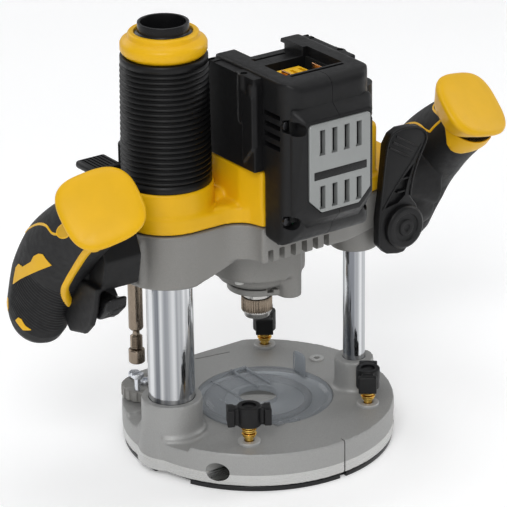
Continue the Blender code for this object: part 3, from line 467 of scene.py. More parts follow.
def moulding(name, colour, rough=0.42, grain=0.35, depth=0.035, **constants):
    """Spark-textured plastic: a fine pebbled grain, faint blotches, edges a little polished and painted
    lighter as a highlight.
    """
    look = Look(name, colour, rough, **{"Specular_IOR_Level": 0.28, **constants})
    blotch = look.ramp(look.noise(18, 3), 0.35, 0.65)
    tone = look.blend(blotch * 0.5, shade(colour, 0.94), shade(colour, 1.05))
    # Outer edges painted lighter: a painted highlight.
    look.feed("Base Color", look.blend(look.edge_wear_and_highlight(0.35), tone, shade(colour, 1.35)))
    look.feed("Roughness", look.ramp(look.noise(4, 2), 0.3, 0.7, rough - 0.05, rough + 0.07) - look.edge_wear_and_highlight(0.1))
    look.feed("Normal", look.bump(look.noise(grain, 2), depth))
    return look


def casting(name, colour, rough=0.5):
    """Painted die casting: fine sparkle, soft orange peel, paint thinned at the edges."""
    look = Look(name, colour, rough, 0.35)
    speck = look.ramp(look.noise(0.35, 1), 0.35, 0.7)
    cloud = look.ramp(look.noise(25, 3), 0.3, 0.7)
    tone = look.blend(speck * 0.55, shade(colour, 0.86), shade(colour, 1.16))
    tone = look.blend(cloud * 0.25, tone, shade(colour, 0.9))
    look.feed("Base Color", look.blend(look.edge_wear_and_highlight(0.4), tone, shade(colour, 1.5)))
    look.feed("Roughness", look.ramp(speck, 0, 1, rough + 0.06, rough - 0.08))
    look.feed("Normal", look.bump(look.noise(0.5, 3), 0.05))
    return look


def metal(name, colour, rough=0.25, stretch=(1, 1, 1), grain=0.4, depth=0.01):
    """Bare metal with the fine marks of the tool or the polishing wheel."""
    look = Look(name, colour, rough, 1.0)
    marks = look.noise(grain, 3, stretch)
    look.feed("Roughness", look.ramp(marks, 0.3, 0.7, max(0.03, rough - 0.07), rough + 0.1))
    look.feed("Base Color", look.blend(look.ramp(look.noise(6, 3), 0.4, 0.8) * 0.35, colour,
                                       shade(colour, 0.8)))
    look.feed("Normal", look.bump(marks, depth))
    return look


def chrome_with_painted_bands(name, painted_band_size):
    """Hard chrome that was ground lengthways: fine streaks up the column, and wide darker and brighter bands
    up it that are partly grinding streaks and partly painted reflections.
    """
    look = metal(name, (0.7, 0.71, 0.73), 0.12, (1, 1, 0.1), 0.5, 0.004)
    # Wide dark and bright bands up the column: partly coarse grinding streaks, partly painted reflections.
    wide = look.ramp(look.noise(painted_band_size, 1, (1, 1, 0.004)), 0.38, 0.62)
    fine = look.ramp(look.noise(0.7, 2, (1, 1, 0.01)), 0.3, 0.7)
    tone = look.blend(wide, (0.17, 0.18, 0.20), (0.74, 0.75, 0.76))
    look.feed("Base Color", look.blend(fine * 0.3, tone, (0.42, 0.43, 0.45)))
    return look


def band_machined(look, top, colour, rough=0.22):
    """Below a height, the casting is turned bare metal with fine rings."""
    band = look.axis("Z") < top
    rings = look.noise(0.5, 2, (0.02, 0.02, 1))
    painted = look.shader.inputs["Base Color"].links[0].from_socket
    look.feed("Base Color", look.blend(band, Wire(look, painted), colour))
    look.feed("Metallic", band * 0.65 + 0.35)
    old = look.shader.inputs["Roughness"].links[0].from_socket
    turned_rough = look.ramp(rings, 0.3, 0.7, rough, rough + 0.15)
    look.feed("Roughness", Wire(look, old) * (1 - band) + turned_rough * band)
    return look


FINISH = {}


def smoked(name, colour, alpha):
    """Clear moulding, tinted: glossy, with a few scuffs and a denser edge."""
    look = Look(name, colour, 0.08, IOR=1.49)
    scuff = look.ramp(look.noise(1.2, 4, (1, 6, 1)), 0.55, 0.8)
    look.feed("Roughness", scuff * 0.2 + 0.07)
    look.feed("Alpha", look.add("ShaderNodeFresnel", IOR=1.5) * 0.8 + alpha)
    look.feed("Normal", look.bump(look.noise(9, 2), 0.12))
    return look


def finish(name):
    return FINISH[name].material


class ROUTER_OT_finishes(Operator):
    """Make every finish from the panel's colours"""

    bl_idname = "router.finishes"
    bl_label = "Finishes"

    def execute(self, context):
        colours = context.scene.router_colours
        yellow, black, cast = colours.yellow, colours.black, colours.casting
        FINISH["yellow"] = moulding("yellow_moulding", yellow, 0.38)
        FINISH["black"] = moulding("black_moulding", black, 0.44, 0.4, 0.05)
        FINISH["satin"] = moulding("black_satin", shade(black, 1.2), 0.3, 0.5, 0.02)
        FINISH["grip"] = moulding("grip_overmould", shade(black, 1.25), 0.58, 0.3, 0.05)
        FINISH["bellows"] = moulding("bellows_rubber", shade(black, 0.5), 0.45, 0.8, 0.03)
        FINISH["amber"] = moulding("amber_inlay", shade(yellow, 0.8), 0.5)
        FINISH["cast"] = casting("cast_grey", cast)
        FINISH["base"] = band_machined(casting("base_grey", colours.base), 11.0, (0.55, 0.55, 0.54))
        FINISH["seat"] = casting("seat_grey", shade(colours.base, 1.3), 0.4)
        FINISH["chrome"] = chrome_with_painted_bands("hard_chrome", 5.0)
        FINISH["steel"] = metal("bright_steel", (0.55, 0.54, 0.52), 0.28)
        FINISH["zinc"] = metal("zinc_plate", (0.72, 0.74, 0.78), 0.25)
        FINISH["nickel"] = metal("dark_nickel", (0.27, 0.22, 0.17), 0.25, (1, 1, 0.1))
        FINISH["oxide"] = metal("black_oxide", (0.05, 0.05, 0.053), 0.33)
        FINISH["brass"] = metal("turned_brass", (0.75, 0.48, 0.11), 0.22)
        FINISH["copper"] = metal("contact_copper", (0.80, 0.42, 0.22), 0.25)
        FINISH["silver"] = moulding("silver_paint", (0.30, 0.31, 0.305), 0.36, 0.4, 0.02, Metallic=0.3)
        FINISH["laminate"] = moulding("black_laminate", (0.014, 0.014, 0.015), 0.32, 1.5, 0.02)
        FINISH["smoke"] = smoked("smoked_clear", (0.50, 0.53, 0.56), 0.24)
        FINISH["lens"] = smoked("clear_lens", (0.9, 0.9, 0.86), 0.6)
        FINISH["board"] = moulding("board_mask", (0.015, 0.10, 0.04), 0.4)
        FINISH["pit"] = moulding("dark_inside", (0.006, 0.006, 0.006), 0.7)
        refinish(finish("steel"), "plunge_spring", "stator", "lower_bearing", "upper_bearing", "spindle")
        refinish(finish("steel"), "rotor", "sole_screw_1", "sole_screw_2", "sole_screw_3",
                 "plunge_lock_shaft")
        refinish(finish("nickel"), "dust_column_bush", "guide_column_bush")
        refinish(finish("board"), "control_board")
        refinish(finish("black"), "cooling_fan", "spring_tower")
        refinish(finish("lens"), "left_work_light", "right_work_light")
        return {"FINISHED"}


# ------------------------------------------------------------------ base

def base_outline(radius, flat):
    half = math.degrees(math.acos(flat / radius))
    return arc((0, 0), radius, 90 + half, 450 - half, 120)


def clamp_spots():
    return [middle(f"{name}_clamp_stud") for name in ("front", "right", "back")]


class ROUTER_OT_base(Operator):
    """Cast base: sockets, low pocket, machined rim, fence-rod holes and split groove"""

    bl_idname = "router.base"
    bl_label = "Base casting"

    def execute(self, context):
        sizes = context.scene.router_sizes
        low, high = mm("base_casting")
        radius, flat, floor, top = high.x, high.y, low.z, sizes.deck
        solids = [
            plate(base_outline(radius, flat), floor, top),
            bar(DUST_SOCKET_R, floor, high.z, DUST.xy, sides=96),
            bar(GUIDE_SOCKET_R, floor, high.z, GUIDE.xy),
            bar(22.0, floor, top + 3, DUST.xy, top=19.0, sides=96),
            bar(15.5, floor, top + 3, GUIDE.xy, top=12.5),
            bar(12.0, floor, top + 1.5, TURRET.xy),
        ]
        pocket = [(-80, -37), (-63, -31), (-37, -28.5), (-31, -24), (-29, 4), (-40, 10), (-52, 22),
                  (-72, 24), (-96, 30), (-98, -24)]
        around = plate(pocket, top - 3.0, top + 30)
        combine(around, [bar(21, 0, 80, DUST.xy), bar(13, 0, 80, TURRET.xy)])
        body = moulded(solids, [around], 1.0, 4)
        cuts = [
            bar(RECESS_R, top - 4.0, top + 9, RECESS_SPOT, sides=128),
            bar(THROAT_R, -5, 60, sides=96),
            bar(DUST_SEAT_R, 20, 80, DUST.xy, sides=96),
            bar(GUIDE_SEAT_R, 8, 80, GUIDE.xy),
            block((4.0, -95, -2), (4.9, -81.0, 60)),
            plate([(-1.5, 67.9), (22.4, 63.5), (22.4, 62.7), (-1.5, 67.1)], top - 0.8, top + 5),
            bar(1.6, top - 6, top + 9, SOLE_SCREW_SPOT, sides=24),
        ]
        front, back = clamp_spots()[0], clamp_spots()[2]
        cuts += [bar(3.1, 12, 60, spot.xy, sides=32) for spot in clamp_spots()]
        cuts += [bar(6.0, -120, 120, (spot.y, 12), "X", sides=48) for spot in (front, back)]
        combine(body, cuts)
        show(body, "base_casting_shell", finish("base"), "base", ["base_casting"], 40)
        rings = []
        for spot in clamp_spots():
            profile = [(7.0, top + 1.8), (7.0, top - 1), (3.1, top - 1), (3.1, top + 1.8)]
            rings.append(turned(profile, spot.xy, 48, 0.5))
        rings.append(turned([(4.6, top + 1.2), (4.6, top - 1), (1.9, top - 1), (1.9, top + 1.2)],
                            SOLE_SCREW_SPOT, 48, 0.4))
        show(together(rings), "base_seat_rings", finish("seat"), "base", ())
        return {"FINISHED"}


class ROUTER_OT_sole(Operator):
    """Black laminate sole with its two edge notches"""

    bl_idname = "router.sole"
    bl_label = "Sole"

    def execute(self, context):
        low, high = mm("sole_plate")
        sheet = plate(base_outline(high.x, high.y), low.z, high.z, edge=0.5)
        notch = plate([(-95, -8), (-79.5, -9), (-72, -34), (-95, -45)], -5, 10)
        slot = block((1.5, -95, -5), (6.5, -80.5, 10))
        combine(sheet, [notch, slot, bar(THROAT_R, -5, 10, sides=96)])
        show(sheet, "sole_laminate", finish("laminate"), "base", ["sole_plate"])
        return {"FINISHED"}


class ROUTER_OT_insert(Operator):
    """Smoked throat insert: stepped disc, chip channel, lifting tab and clips"""

    bl_idname = "router.insert"
    bl_label = "Throat insert"

    def execute(self, context):
        edge = RECESS_R - INSERT_GAP
        spot = RECESS_SPOT
        top = mm("throat_insert")[0].z + INSERT_DECK
        rim = [(edge, top + 0.6), (edge, top - 2.8), (25, top - 2.8), (25, top - 1.4), (edge - 6, top - 1.4)]
        rim += [(edge - 4.4, top - 0.6), (edge - 2.6, top + 0.6)]
        disc = [(31, top + 0.5), (34, top - 1.3), (34, top - 2.4), (12, top - 2.4), (12, top + 1.2),
                (14.5, top + 1.2)]
        disc += [(15, top + 0.5)]
        walls = [block((5.2, 8, top), (6.6, 38, top + 2.4), 0.4),
                 block((14.4, 8, top), (15.8, 35, top + 2.4), 0.4)]
        walls += [block((5.2, 34.4, top), (15.8, 35.8, top + 3.0), 0.4),
                  block((-12.6, 4, top), (-11.4, 34, top + 1.3), 0.4)]
        walls += [block((-24, -20, top + 0.2), (-22.8, 10, top + 1.2), 0.4)]
        tab_outline = [(4, top), (4, top + 12)]
        tab_outline += arc((7, top + 12), 3, 180, 90, 6) + arc((13, top + 12), 3, 90, 0, 6)
        tab = plate(tab_outline + [(16, top)], 38.6, 40.1, "X", 0.5)
        clips = [block((-17, -44.5, top - 2), (-11, -40, top + 1.2), 0.6),
                 block((-6, -45.3, top - 2), (0, -41, top + 1.2), 0.6)]
        parts = {
            "insert_rim": turned(rim, spot, 128, 0.3), "insert_disc": turned(disc, (0, 0), 128, 0.3),
            "insert_ribs_and_tab": together(walls + [tab]), "insert_clips": together(clips),
        }
        for name, piece in parts.items():
            show(piece, name, finish("smoke"), "base", ["throat_insert"])
        return {"FINISHED"}


class ROUTER_OT_columns(Operator):
    """Hollow dust column and guide column, ground and chromed"""

    bl_idname = "router.columns"
    bl_label = "Columns"

    def execute(self, context):
        for name, wall in (("dust_column", 1.5), ("guide_column", 2.0)):
            low, high = mm(name)
            centre = middle(name)
            wide = (high.x - low.x) / 2
            profile = [(wide, high.z), (wide, low.z), (wide - wall, low.z), (wide - wall, high.z)]
            tube = turned(profile, centre.xy, 160, 0.25)
            show(tube, name + "_tube", finish("chrome"), "base", [name])
        return {"FINISHED"}


class ROUTER_OT_outlet(Operator):
    """Yellow collar in two tiers, with the black spout that a hose pushes over"""

    bl_idname = "router.outlet"
    bl_label = "Dust outlet"

    def execute(self, context):
        low, high = mm("outlet_collar")
        z = low.z
        wide = (high.x - low.x) / 2
        profile = [(17.5, z + 14.6), (20.0, z + 14.6), (21.0, z + 13.8), (21.3, z + 11.2), (23.4, z + 10.2)]
        profile += [(wide - 0.7, z + 9.0), (wide, z + 7.6), (wide, z + 3.6), (wide - 0.8, z + 2.2),
                    (wide - 2.2, z + 0.8)]
        profile += [(wide - 3, z), (16.5, z), (16.5, z + 13), (17.5, z + 13)]
        show(turned(profile, DUST.xy, 144, 0.5), "outlet_collar_shell", finish("yellow"), "base",
             ["outlet_collar"])
        top = mm("outlet_spout")[1].z
        profile = [(15.3, top), (15.3, top - 5.4), (16.0, top - 6.0), (17.3, top - 6.4), (17.3, top - 16)]
        profile += [(13.6, top - 16), (13.6, top)]
        show(turned(profile, DUST.xy, 128, 0.35), "outlet_spout_shell", finish("satin"), "base",
             ["outlet_spout"])
        return {"FINISHED"}


class ROUTER_OT_bellows(Operator):
    """Rubber bellows: a cuff at each end, round ribs between"""

    bl_idname = "router.bellows"
    bl_label = "Bellows"

    def execute(self, context):
        sizes = context.scene.router_sizes
        low, high = mm("bellows")
        foot, head = low.z - 0.5, high.z + 0.5
        cuff = 5.0
        pitch = (head - foot - 2 * cuff) / sizes.ribs
        steps = 8
        outer = []
        for i in range(sizes.ribs * steps + 1):
            z = foot + cuff + pitch * i / steps
            wide = 27.3 - 1.1 * (z - foot) / (head - foot)
            outer.append((wide - sizes.rib_depth * (0.5 + 0.5 * math.cos(math.tau * i / steps)) ** 1.5, z))
        outer = [(26.6, foot), (27.1, foot + 0.4), (27.0, foot + cuff - 0.8)] + outer
        outer += [(26.0, head - cuff + 0.8), (26.0, head - 0.4), (25.5, head)]
        body = turned(outer[::-1] + [(23.5, foot), (23.5, head)], DUST.xy, 120)
        show(body, "bellows_sleeve", finish("bellows"), None, ["bellows"], 60)
        tuple(at(DUST.x, DUST.y, foot))
        tuple(at(DUST.x, DUST.y, head))
        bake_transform(body)
        return {"FINISHED"}


# ------------------------------------------------------------------ head

def head_outline(grow=0.0):
    """Plan of the head: wings round both columns, hollow corners beside the front shelf."""
    left, front, shelf = 29.5 + grow, -33.8 - grow, -51.6 - grow
    points = arc(DUST.xy, left, 90, 270, 28)
    points += [(-49, front)] + arc((-48, front - 17), 17, 90, 4, 10) + [(-31 - grow, shelf + 1), (-30, shelf)]
    points += [(31, shelf), (43, shelf + 3), (64, -42), (92, -30), (97 + grow, -22), (97 + grow, 10),
               (90, 18)]
    return points + [(44, 30), (20, 36), (-20, 36), (-44, DUST.y + left)]


class ROUTER_OT_casting(Operator):
    """Grey motor casting: wings, slotted front shelf, nose, boss and column bores"""

    bl_idname = "router.casting"
    bl_label = "Motor casting"

    def execute(self, context):
        split = mm("motor_casting")[1].z
        solids = [
            plate(head_outline(), 138, split),
            bar(29.5, 126.5, split, DUST.xy, sides=96),
            plate([(-67, -33.8), (-38, -33.8), (-38, 10), (-67, 25)], 130, split),
            bar(15, 121, split, GUIDE.xy),
            bar(30, 113, split, (0, 0), sides=96),
            bar(24, 107, 140, (0, 0), sides=96, top=31),
            bar(19, 104.0, 112, (0, 0), sides=96),
            bar(7.4, 100, 142, (9.5, -21.5), sides=48),
            bar(9.5, 143, split, ROD.xy, sides=48),
            block((ROD.x - 4, 14, 143), (ROD.x + 4, ROD.y, split)),
            block((-97, -18, 128), (-67, 16, split - 1), 3),
            bar(13, -42, -10, (LEVER.x, LEVER.z), "Y", sides=48),
        ]
        taper = plate([(-75, 120), (-75, 126), (-66, 127), (-45, 134.5), (-30, 139), (-30, 120)], -60, -24,
                      "Y")
        body = moulded(solids, [taper], 0.95, 5)
        cuts = []
        for i in range(6):
            x = -25.5 + 8.2 * i
            cuts.append(block((x - 2.0, -60, 137), (x + 2.0, -46, 146.5), 0.5))
        cuts += [bar(DUST_BORE_R, 100, 200, DUST.xy, sides=96), bar(GUIDE_BORE_R, 100, 200, GUIDE.xy)]
        cuts += [bar(5.2, 100, 200, ROD.xy, sides=32), bar(NOSE_BORE_R, 90, 118, (0, 0), sides=64)]
        combine(body, cuts)
        show(body, "motor_casting_shell", finish("cast"), "head", ["motor_casting"], 40)
        flange = [bar(18.4, 99.2, 103.4, (0, 0), sides=96), bar(7.3, 98.6, 103.4, (9.5, -21.5), sides=48)]
        flange.append(plate([(-4, -18), (4, -22), (15, -22), (17, -6)], 99.2, 103.4))
        ring = moulded(flange, (), 0.6, 4)
        combine(ring, [bar(NOSE_BORE_R, 90, 110, (0, 0), sides=64),
                       block((-4.5, -19.5, 101.5), (-0.5, -16, 106))])
        show(ring, "nose_flange", finish("cast"), "head", ())
        return {"FINISHED"}


class ROUTER_OT_cover(Operator):
    """Yellow top cover: cup, wing, corner panel, rib and right shoulder"""

    bl_idname = "router.cover"
    bl_label = "Top cover"

    def execute(self, context):
        low, high = mm("top_cover")
        foot = low.z + 0.3
        cup = mm("bellows")[0].z
        solids = [
            plate(head_outline(-0.4), foot, foot + 10),
            bar(28.0, foot, cup - 0.2, DUST.xy, sides=96),
            plate([(-36, 33.5), (-36, -33.8), (-30.5, -50.6), (35, -50.6), (35, 33.5)], foot, 197.5),
            block((31, -40, foot), (64, 12, high.z - 0.6), 4),
            plate([(-52, -31), (-44, -33.4), (-33, -33.4), (-33, -14)], foot + 8, foot + 12),
            block((-62, -20, foot), (-34, 12, foot + 16), 3),
        ]
        hollows = [bar(23.4, cup - 9, cup + 9, DUST.xy, sides=96),
                   block((-31.3, -60, 166), (31.3, -52.0, 230))]
        body = moulded(solids, hollows, 0.95, 4)
        cuts = [bar(15.5, 100, 250, DUST.xy, sides=96), bar(8.3, 100, 230, GUIDE.xy)]
        cuts.append(block((-4.5, 16, 171.5), (4.5, 40, 194.5)))
        combine(body, cuts)
        show(body, "top_cover_shell", finish("yellow"), "head", ["top_cover"], 40)
        return {"FINISHED"}


# ------------------------------------------------------------------ electronics housing

SCREW_XS = (-27.6, 27.6)
SCREW_ZS = (232, 172)
SLOT_ROWS = ((222.5, 7.8), (188.5, 7.2))
SLOT_XS = [-13.2 + 8.8 * i for i in range(4)]
SLOT_HALF = 2.1


def grille_slots(grow, low, high):
    """The two rows of four upright slots."""
    side = SLOT_HALF + grow
    slots = []
    for z, half in SLOT_ROWS:
        for x in SLOT_XS:
            slots.append(block((x - side, low, z - half - grow), (x + side, high, z + half + grow)))
    return slots


def grille_outline(half, bottom, top, chamfer, corner):
    """Rounded top corners and cut-off bottom corners, in x and z."""
    points = arc((half - corner, top - corner), corner, 0, 90, 6) + arc((corner - half, top - corner),
            corner, 90, 180, 6)
    return points + [(-half, bottom + chamfer), (chamfer - half, bottom), (half - chamfer, bottom),
                     (half, bottom + chamfer)]


class ROUTER_OT_housing(Operator):
    """Electronics housing in two halves: raised grille frame, vents, battery well and rails"""

    bl_idname = "router.housing"
    bl_label = "Housing"

    def execute(self, context):
        low, high = mm("left_housing")
        front, back, bottom, top = -79.0, high.y, low.z, high.z
        wide = -low.x
        corner = 11.5
        plan = arc((wide - corner, front + corner), corner, 0, -90, 8) + arc((corner - wide, front + corner),
                corner, 270, 180, 8)
        plan += [(-wide, back), (wide, back)]
        tall = plate(plan, bottom - 5, top + 5)
        side = arc((front + 16, bottom + 16), 16, 180, 262, 6) + [(-52.3, bottom + 2), (-52.3, 198.6),
                (back, 198.6)]
        side += [(back, top)] + arc((front + 7, top - 7), 7, 90, 180, 6)
        profile = plate(side, -60, 60, "X")
        combine(tall, [profile], "INTERSECT")
        tall = moulded([tall], (), 1.15, 9)
        panel = skin([
            [at(x, front + 2, z) for x, z in grille_outline(29.0, bottom + 12, 243, 10, 3)],
            [at(x, front, z) for x, z in grille_outline(28.5, bottom + 13, 242.5, 10, 3)],
            [at(x, low.y + 0.3, z) for x, z in grille_outline(24.3, bottom + 20, 237, 9, 2.5)],
            [at(x, low.y, z) for x, z in grille_outline(23.8, bottom + 20.5, 236.5, 9, 2.5)],
        ])
        shell = combine(tall, [panel], "UNION")
        cuts = [
            plate(grille_outline(22.3, 178.6, 234.6, 8.6, 2.4), low.y - 5, low.y + 3.2, "Y"),
            block((-20.3, -61, 240), (20.3, -26, 280)),
            block((-17.5, -27, 252.2), (17.5, 5, 280)),
            block((-20.3, -24, 250), (20.3, 5, 255)),
            block((-19, -65.2, 256.6), (19, -62.8, 280)),
            block((-16, -11, 249), (16, -8.5, 280)),
        ]
        cuts.append(together(grille_slots(0.4, low.y - 5, front + 6)))
        vents, holes = [], []
        for i in range(4):
            z = 215.5 + 6.4 * i
            for x in (-wide, wide):
                vents.append(block((x - 4, -69.5, z), (x + 4, -54, z + 3.0), 0.6))
        for z in SCREW_ZS:
            for x in SCREW_XS:
                holes.append(bar(4.4, -95, -71, (x, z), "Y", sides=40))
        combine(shell, cuts + [together(vents), together(holes)])
        right = copied(shell, Matrix.Identity(4))
        combine(shell, [block((-0.12, -120, 100), (60, 60, 300))])
        combine(right, [block((-60, -120, 100), (0.12, 60, 300))])
        show(shell, "left_housing_shell", finish("black"), "head", ["left_housing"], 35)
        show(right, "right_housing_shell", finish("black"), "head", ["right_housing"], 35)
        screws = [bar(3.0, -72.4, -69.5, (x, z), "Y", sides=24, edge=0.4) for x in SCREW_XS for z in SCREW_ZS]
        show(together(screws), "housing_screws", finish("oxide"), "head", ())
        lining = block((-27, front + 4, 172), (27, front + 6, 240))
        show(lining, "grille_lining", finish("pit"), "head", ())
        return {"FINISHED"}


class ROUTER_OT_grille(Operator):
    """Silver vent grille with two rows of slots and a plain raised band"""

    bl_idname = "router.grille"
    bl_label = "Grille"

    def execute(self, context):
        front = mm("vent_grille")[0].y
        sheet = plate(grille_outline(22.0, 179, 234.3, 8.5, 2.2), front, front + 3.5, "Y", 0.7)
        combine(sheet, grille_slots(0, front - 5, front + 9))
        show(sheet, "vent_grille_face", finish("silver"), "head", ["vent_grille"])
        bars = []
        for z, half in SLOT_ROWS:
            for x in SLOT_XS:
                bars.append(block((x - SLOT_HALF, front + 1.2, z - half), (x - 0.4, front + 3, z + half),
                                  0.3))
        show(together(bars), "grille_louvres", finish("silver"), "head", ())
        band = block((-19, front - 0.25, 200), (19, front + 1, 205), 0.2)
        show(band, "grille_dark_band", finish("satin"), "head", ())
        return {"FINISHED"}


class ROUTER_OT_side_covers(Operator):
    """Side covers with their screw bosses, top screws and brackets"""

    bl_idname = "router.side_covers"
    bl_label = "Side covers"

    def execute(self, context):
        for side, name in ((-1, "left_side_cover"), (1, "right_side_cover")):
            low, high = mm(name)
            outer, inner = sorted((low.x, high.x), key=abs, reverse=True)
            edges = sorted((outer, inner - side * 1.5))
            flush = side * 37.0
            wall = sorted((flush, inner - side * 1.5))
            proud = sorted((outer - side * 3.0, inner - side * 1.5))
            solids = [
                block((wall[0], -52, 197.9), (wall[1], high.y, high.z - 0.6)),
                block((proud[0], -46, high.z - 12), (proud[1], high.y, high.z - 0.6)),
                plate([(-52, 214), (-42, 202), (-42, high.z - 10), (-52, high.z - 12)], *edges, "X"),
                bar(4.6, high.z - 30, high.z - 0.4, (outer - side * 4.6, -39.5), sides=32),
                bar(3.6, 214, high.z - 5, (outer - side * 3.6, -49), sides=32),
            ]
            body = moulded(solids, (), 0.8, 4)
            tops = [(outer - side * 3.4, -6.5), (outer - side * 3.6, -39.5)]
            cuts = [bar(2.1, high.z - 4, high.z + 4, spot, sides=24) for spot in tops]
            cuts.append(block((-50, -33, high.z - 1.2), (50, -11, high.z + 3)))
            combine(body, cuts)
            show(body, name + "_shell", finish("black"), "head", [name], 40)
            screws = [bar(1.9, high.z - 5, high.z - 2, spot, sides=20, edge=0.4) for spot in tops]
            show(together(screws), name + "_screws", finish("oxide"), "head", ())
        return {"FINISHED"}


class ROUTER_OT_terminals(Operator):
    """Battery terminal block, its copper blades and the walls of the well"""

    bl_idname = "router.terminals"
    bl_label = "Terminals"

    def execute(self, context):
        low, high = mm("terminal_block")
        base = block((-13, low.y, low.z), (8, high.y - 8, high.z + 2), 0.8)
        slots = [block((x - 1.2, low.y + 3, low.z + 4), (x + 1.2, high.y - 12, high.z + 9)) for x in (-8, -1,
                5)]
        combine(base, slots + [block((-30, -40, high.z - 2), (-9.6, -20, high.z + 9))])
        show(base, "terminal_carrier", finish("yellow"), "head", ["terminal_block"])
        for i, x in enumerate((-8, 14)):
            blade = block((x - 0.5, low.y + 4, low.z + 4), (x + 0.5, high.y - 13, high.z + 4), 0.3)
            foot = block((x - 2, low.y + 4, low.z + 3), (x + 2, low.y + 12, low.z + 4), 0.3)
            show(together([blade, foot]), f"battery_blade_{i + 1}", finish("copper"), "head",
                 [f"contact_blade_{i + 1}"])
        wall = [block((-20.2, -60.9, 232), (-18.8, -26.1, 252)),
                block((18.8, -60.9, 232), (20.2, -26.1, 252))]
        wall += [block((-20.2, -60.9, 232), (20.2, -59.6, 250)), block((-20.2, -60.9, 230), (20.2, -26, 232))]
        show(together(wall), "battery_well_walls", finish("pit"), "head", ())
        return {"FINISHED"}


# ------------------------------------------------------------------ handles

GRIP_LOW = Vector((34.0, 103.0))
GRIP_TOP = Vector((-30.0, 186.0))
GRIP_X = 138.0
GRIP_WIDE = 21.0
GRIP_DEEP = 23.0
GRIP_BOW = 9.0
SHARES = ((-0.10, 0.30), (-0.08, 0.50), (-0.05, 0.68), (0.0, 0.81), (0.06, 0.90), (0.3, 1.0), (0.6, 1.0),
          (0.85, 0.92),
          (1.0, 0.86), (1.2, 0.80))


def share_at(t):
    """The grip's fullness at a place along its axis."""
    for (a, first), (b, last) in zip(SHARES, SHARES[1:]):
        if t <= b:
            return first + (last - first) * max(0.0, (t - a) / (b - a))
    return SHARES[-1][1]


def grip_axes():
    """The grip's axis and its outward normal, as (y, z)."""
    along = (GRIP_TOP - GRIP_LOW).normalized()
    return along, Vector((along.y, -along.x))


def grip_point(side, t, angle, grow=0.0):
    """A point on the bowed grip: t runs up its axis, and 90 degrees is its upper back."""
    out = grip_axes()[1]
    centre = GRIP_LOW + (GRIP_TOP - GRIP_LOW) * t + out * GRIP_BOW * math.sin(math.pi * min(max(t, 0), 1))
    a = math.radians(angle)
    across = (GRIP_WIDE * share_at(t) + grow) * math.cos(a)
    rise = (GRIP_DEEP * share_at(t) + grow) * math.sin(a)
    y, z = centre + out * rise
    return at(GRIP_X * side + across, y, z)


def ribbing(t, angle):
    """Depth of the fine ribs that wrap the grip's lower front."""
    turn = abs((angle - 225 + 180) % 360 - 180)
    edges = ((62 - turn) / 12, (t - 0.10) / 0.04, (0.50 - t) / 0.04)
    inside = math.prod(min(1.0, max(0.0, edge)) for edge in edges)
    lean = t + 0.0011 * (angle - 225)
    return -0.55 * inside * (0.5 + 0.5 * math.cos(math.tau * lean / 0.0225)) ** 2


def grip_skin(side, grow=0.0, steps=60, sides=72, ribs=False):
    """The grip's closed skin, from its low end to inside the pad."""
    rings = []
    for i in range(steps + 1):
        t = -0.10 + 1.14 * i / steps
        ring = []
        for j in range(sides):
            angle = 360 * j / sides
            turn = angle if side < 0 else 180 - angle
            dent = ribbing(t, turn % 360) if ribs else 0.0
            ring.append(grip_point(side, t, angle, grow + dent))
        rings.append(ring)
    return skin(rings)


def smooth_path(places, steps=5):
    """Points between (t, angle) places, on a curve through them."""
    ends = [places[0]] + list(places) + [places[-1]]
    path = []
    for a, b, c, d in zip(ends, ends[1:], ends[2:], ends[3:]):
        for i in range(steps):
            u = i / steps
            point = []
            for p, q, r, s in zip(a, b, c, d):
                point.append(0.5 * (2 * q + (r - p) * u + (2 * p - 5 * q + 4 * r - s) * u * u +
                                    (3 * q - p - 3 * r + s) * u ** 3))
            path.append(point)
    return path + [list(places[-1])]


def strand(side, places, radius, sunk):
    """A raised line that follows the grip's skin."""
    return wire([grip_point(side, t, a, -sunk) for t, a in smooth_path(places)], radius)


def inlay(side, places, proud=0.4, edge=1.0):
    """A flush patch of the grip's skin, inside an outline of (t, angle) places."""
    corners = [grip_point(side, t, a) for t, a in places]
    centre = sum(corners, Vector()) / len(corners)
    normal = sum(((b - centre).cross(a - centre) for a, b in zip(corners, corners[1:] + corners[:1])),
                 Vector()).normalized()
    cutter = skin([[p - normal * 9 * MM for p in corners], [p + normal * 9 * MM for p in corners]])
    if edge:
        applied(cutter, "BEVEL", width=edge * MM, segments=3, limit_method="ANGLE",
                angle_limit=math.radians(40))
    patch = grip_skin(side, proud, 44, 64)
    combine(patch, [cutter], "INTERSECT")
    return patch


def oval_ring(x, y, z, half_y, half_z, power=2.8, sides=40):
    """A superellipse across the X axis."""
    ring = []
    for i in range(sides):
        a = math.tau * i / sides
        c, s = math.cos(a), math.sin(a)
        ring.append(at(x, y + math.copysign(abs(c) ** (2 / power), c) * half_y, z +
                       math.copysign(abs(s) ** (2 / power), s) * half_z))
    return ring


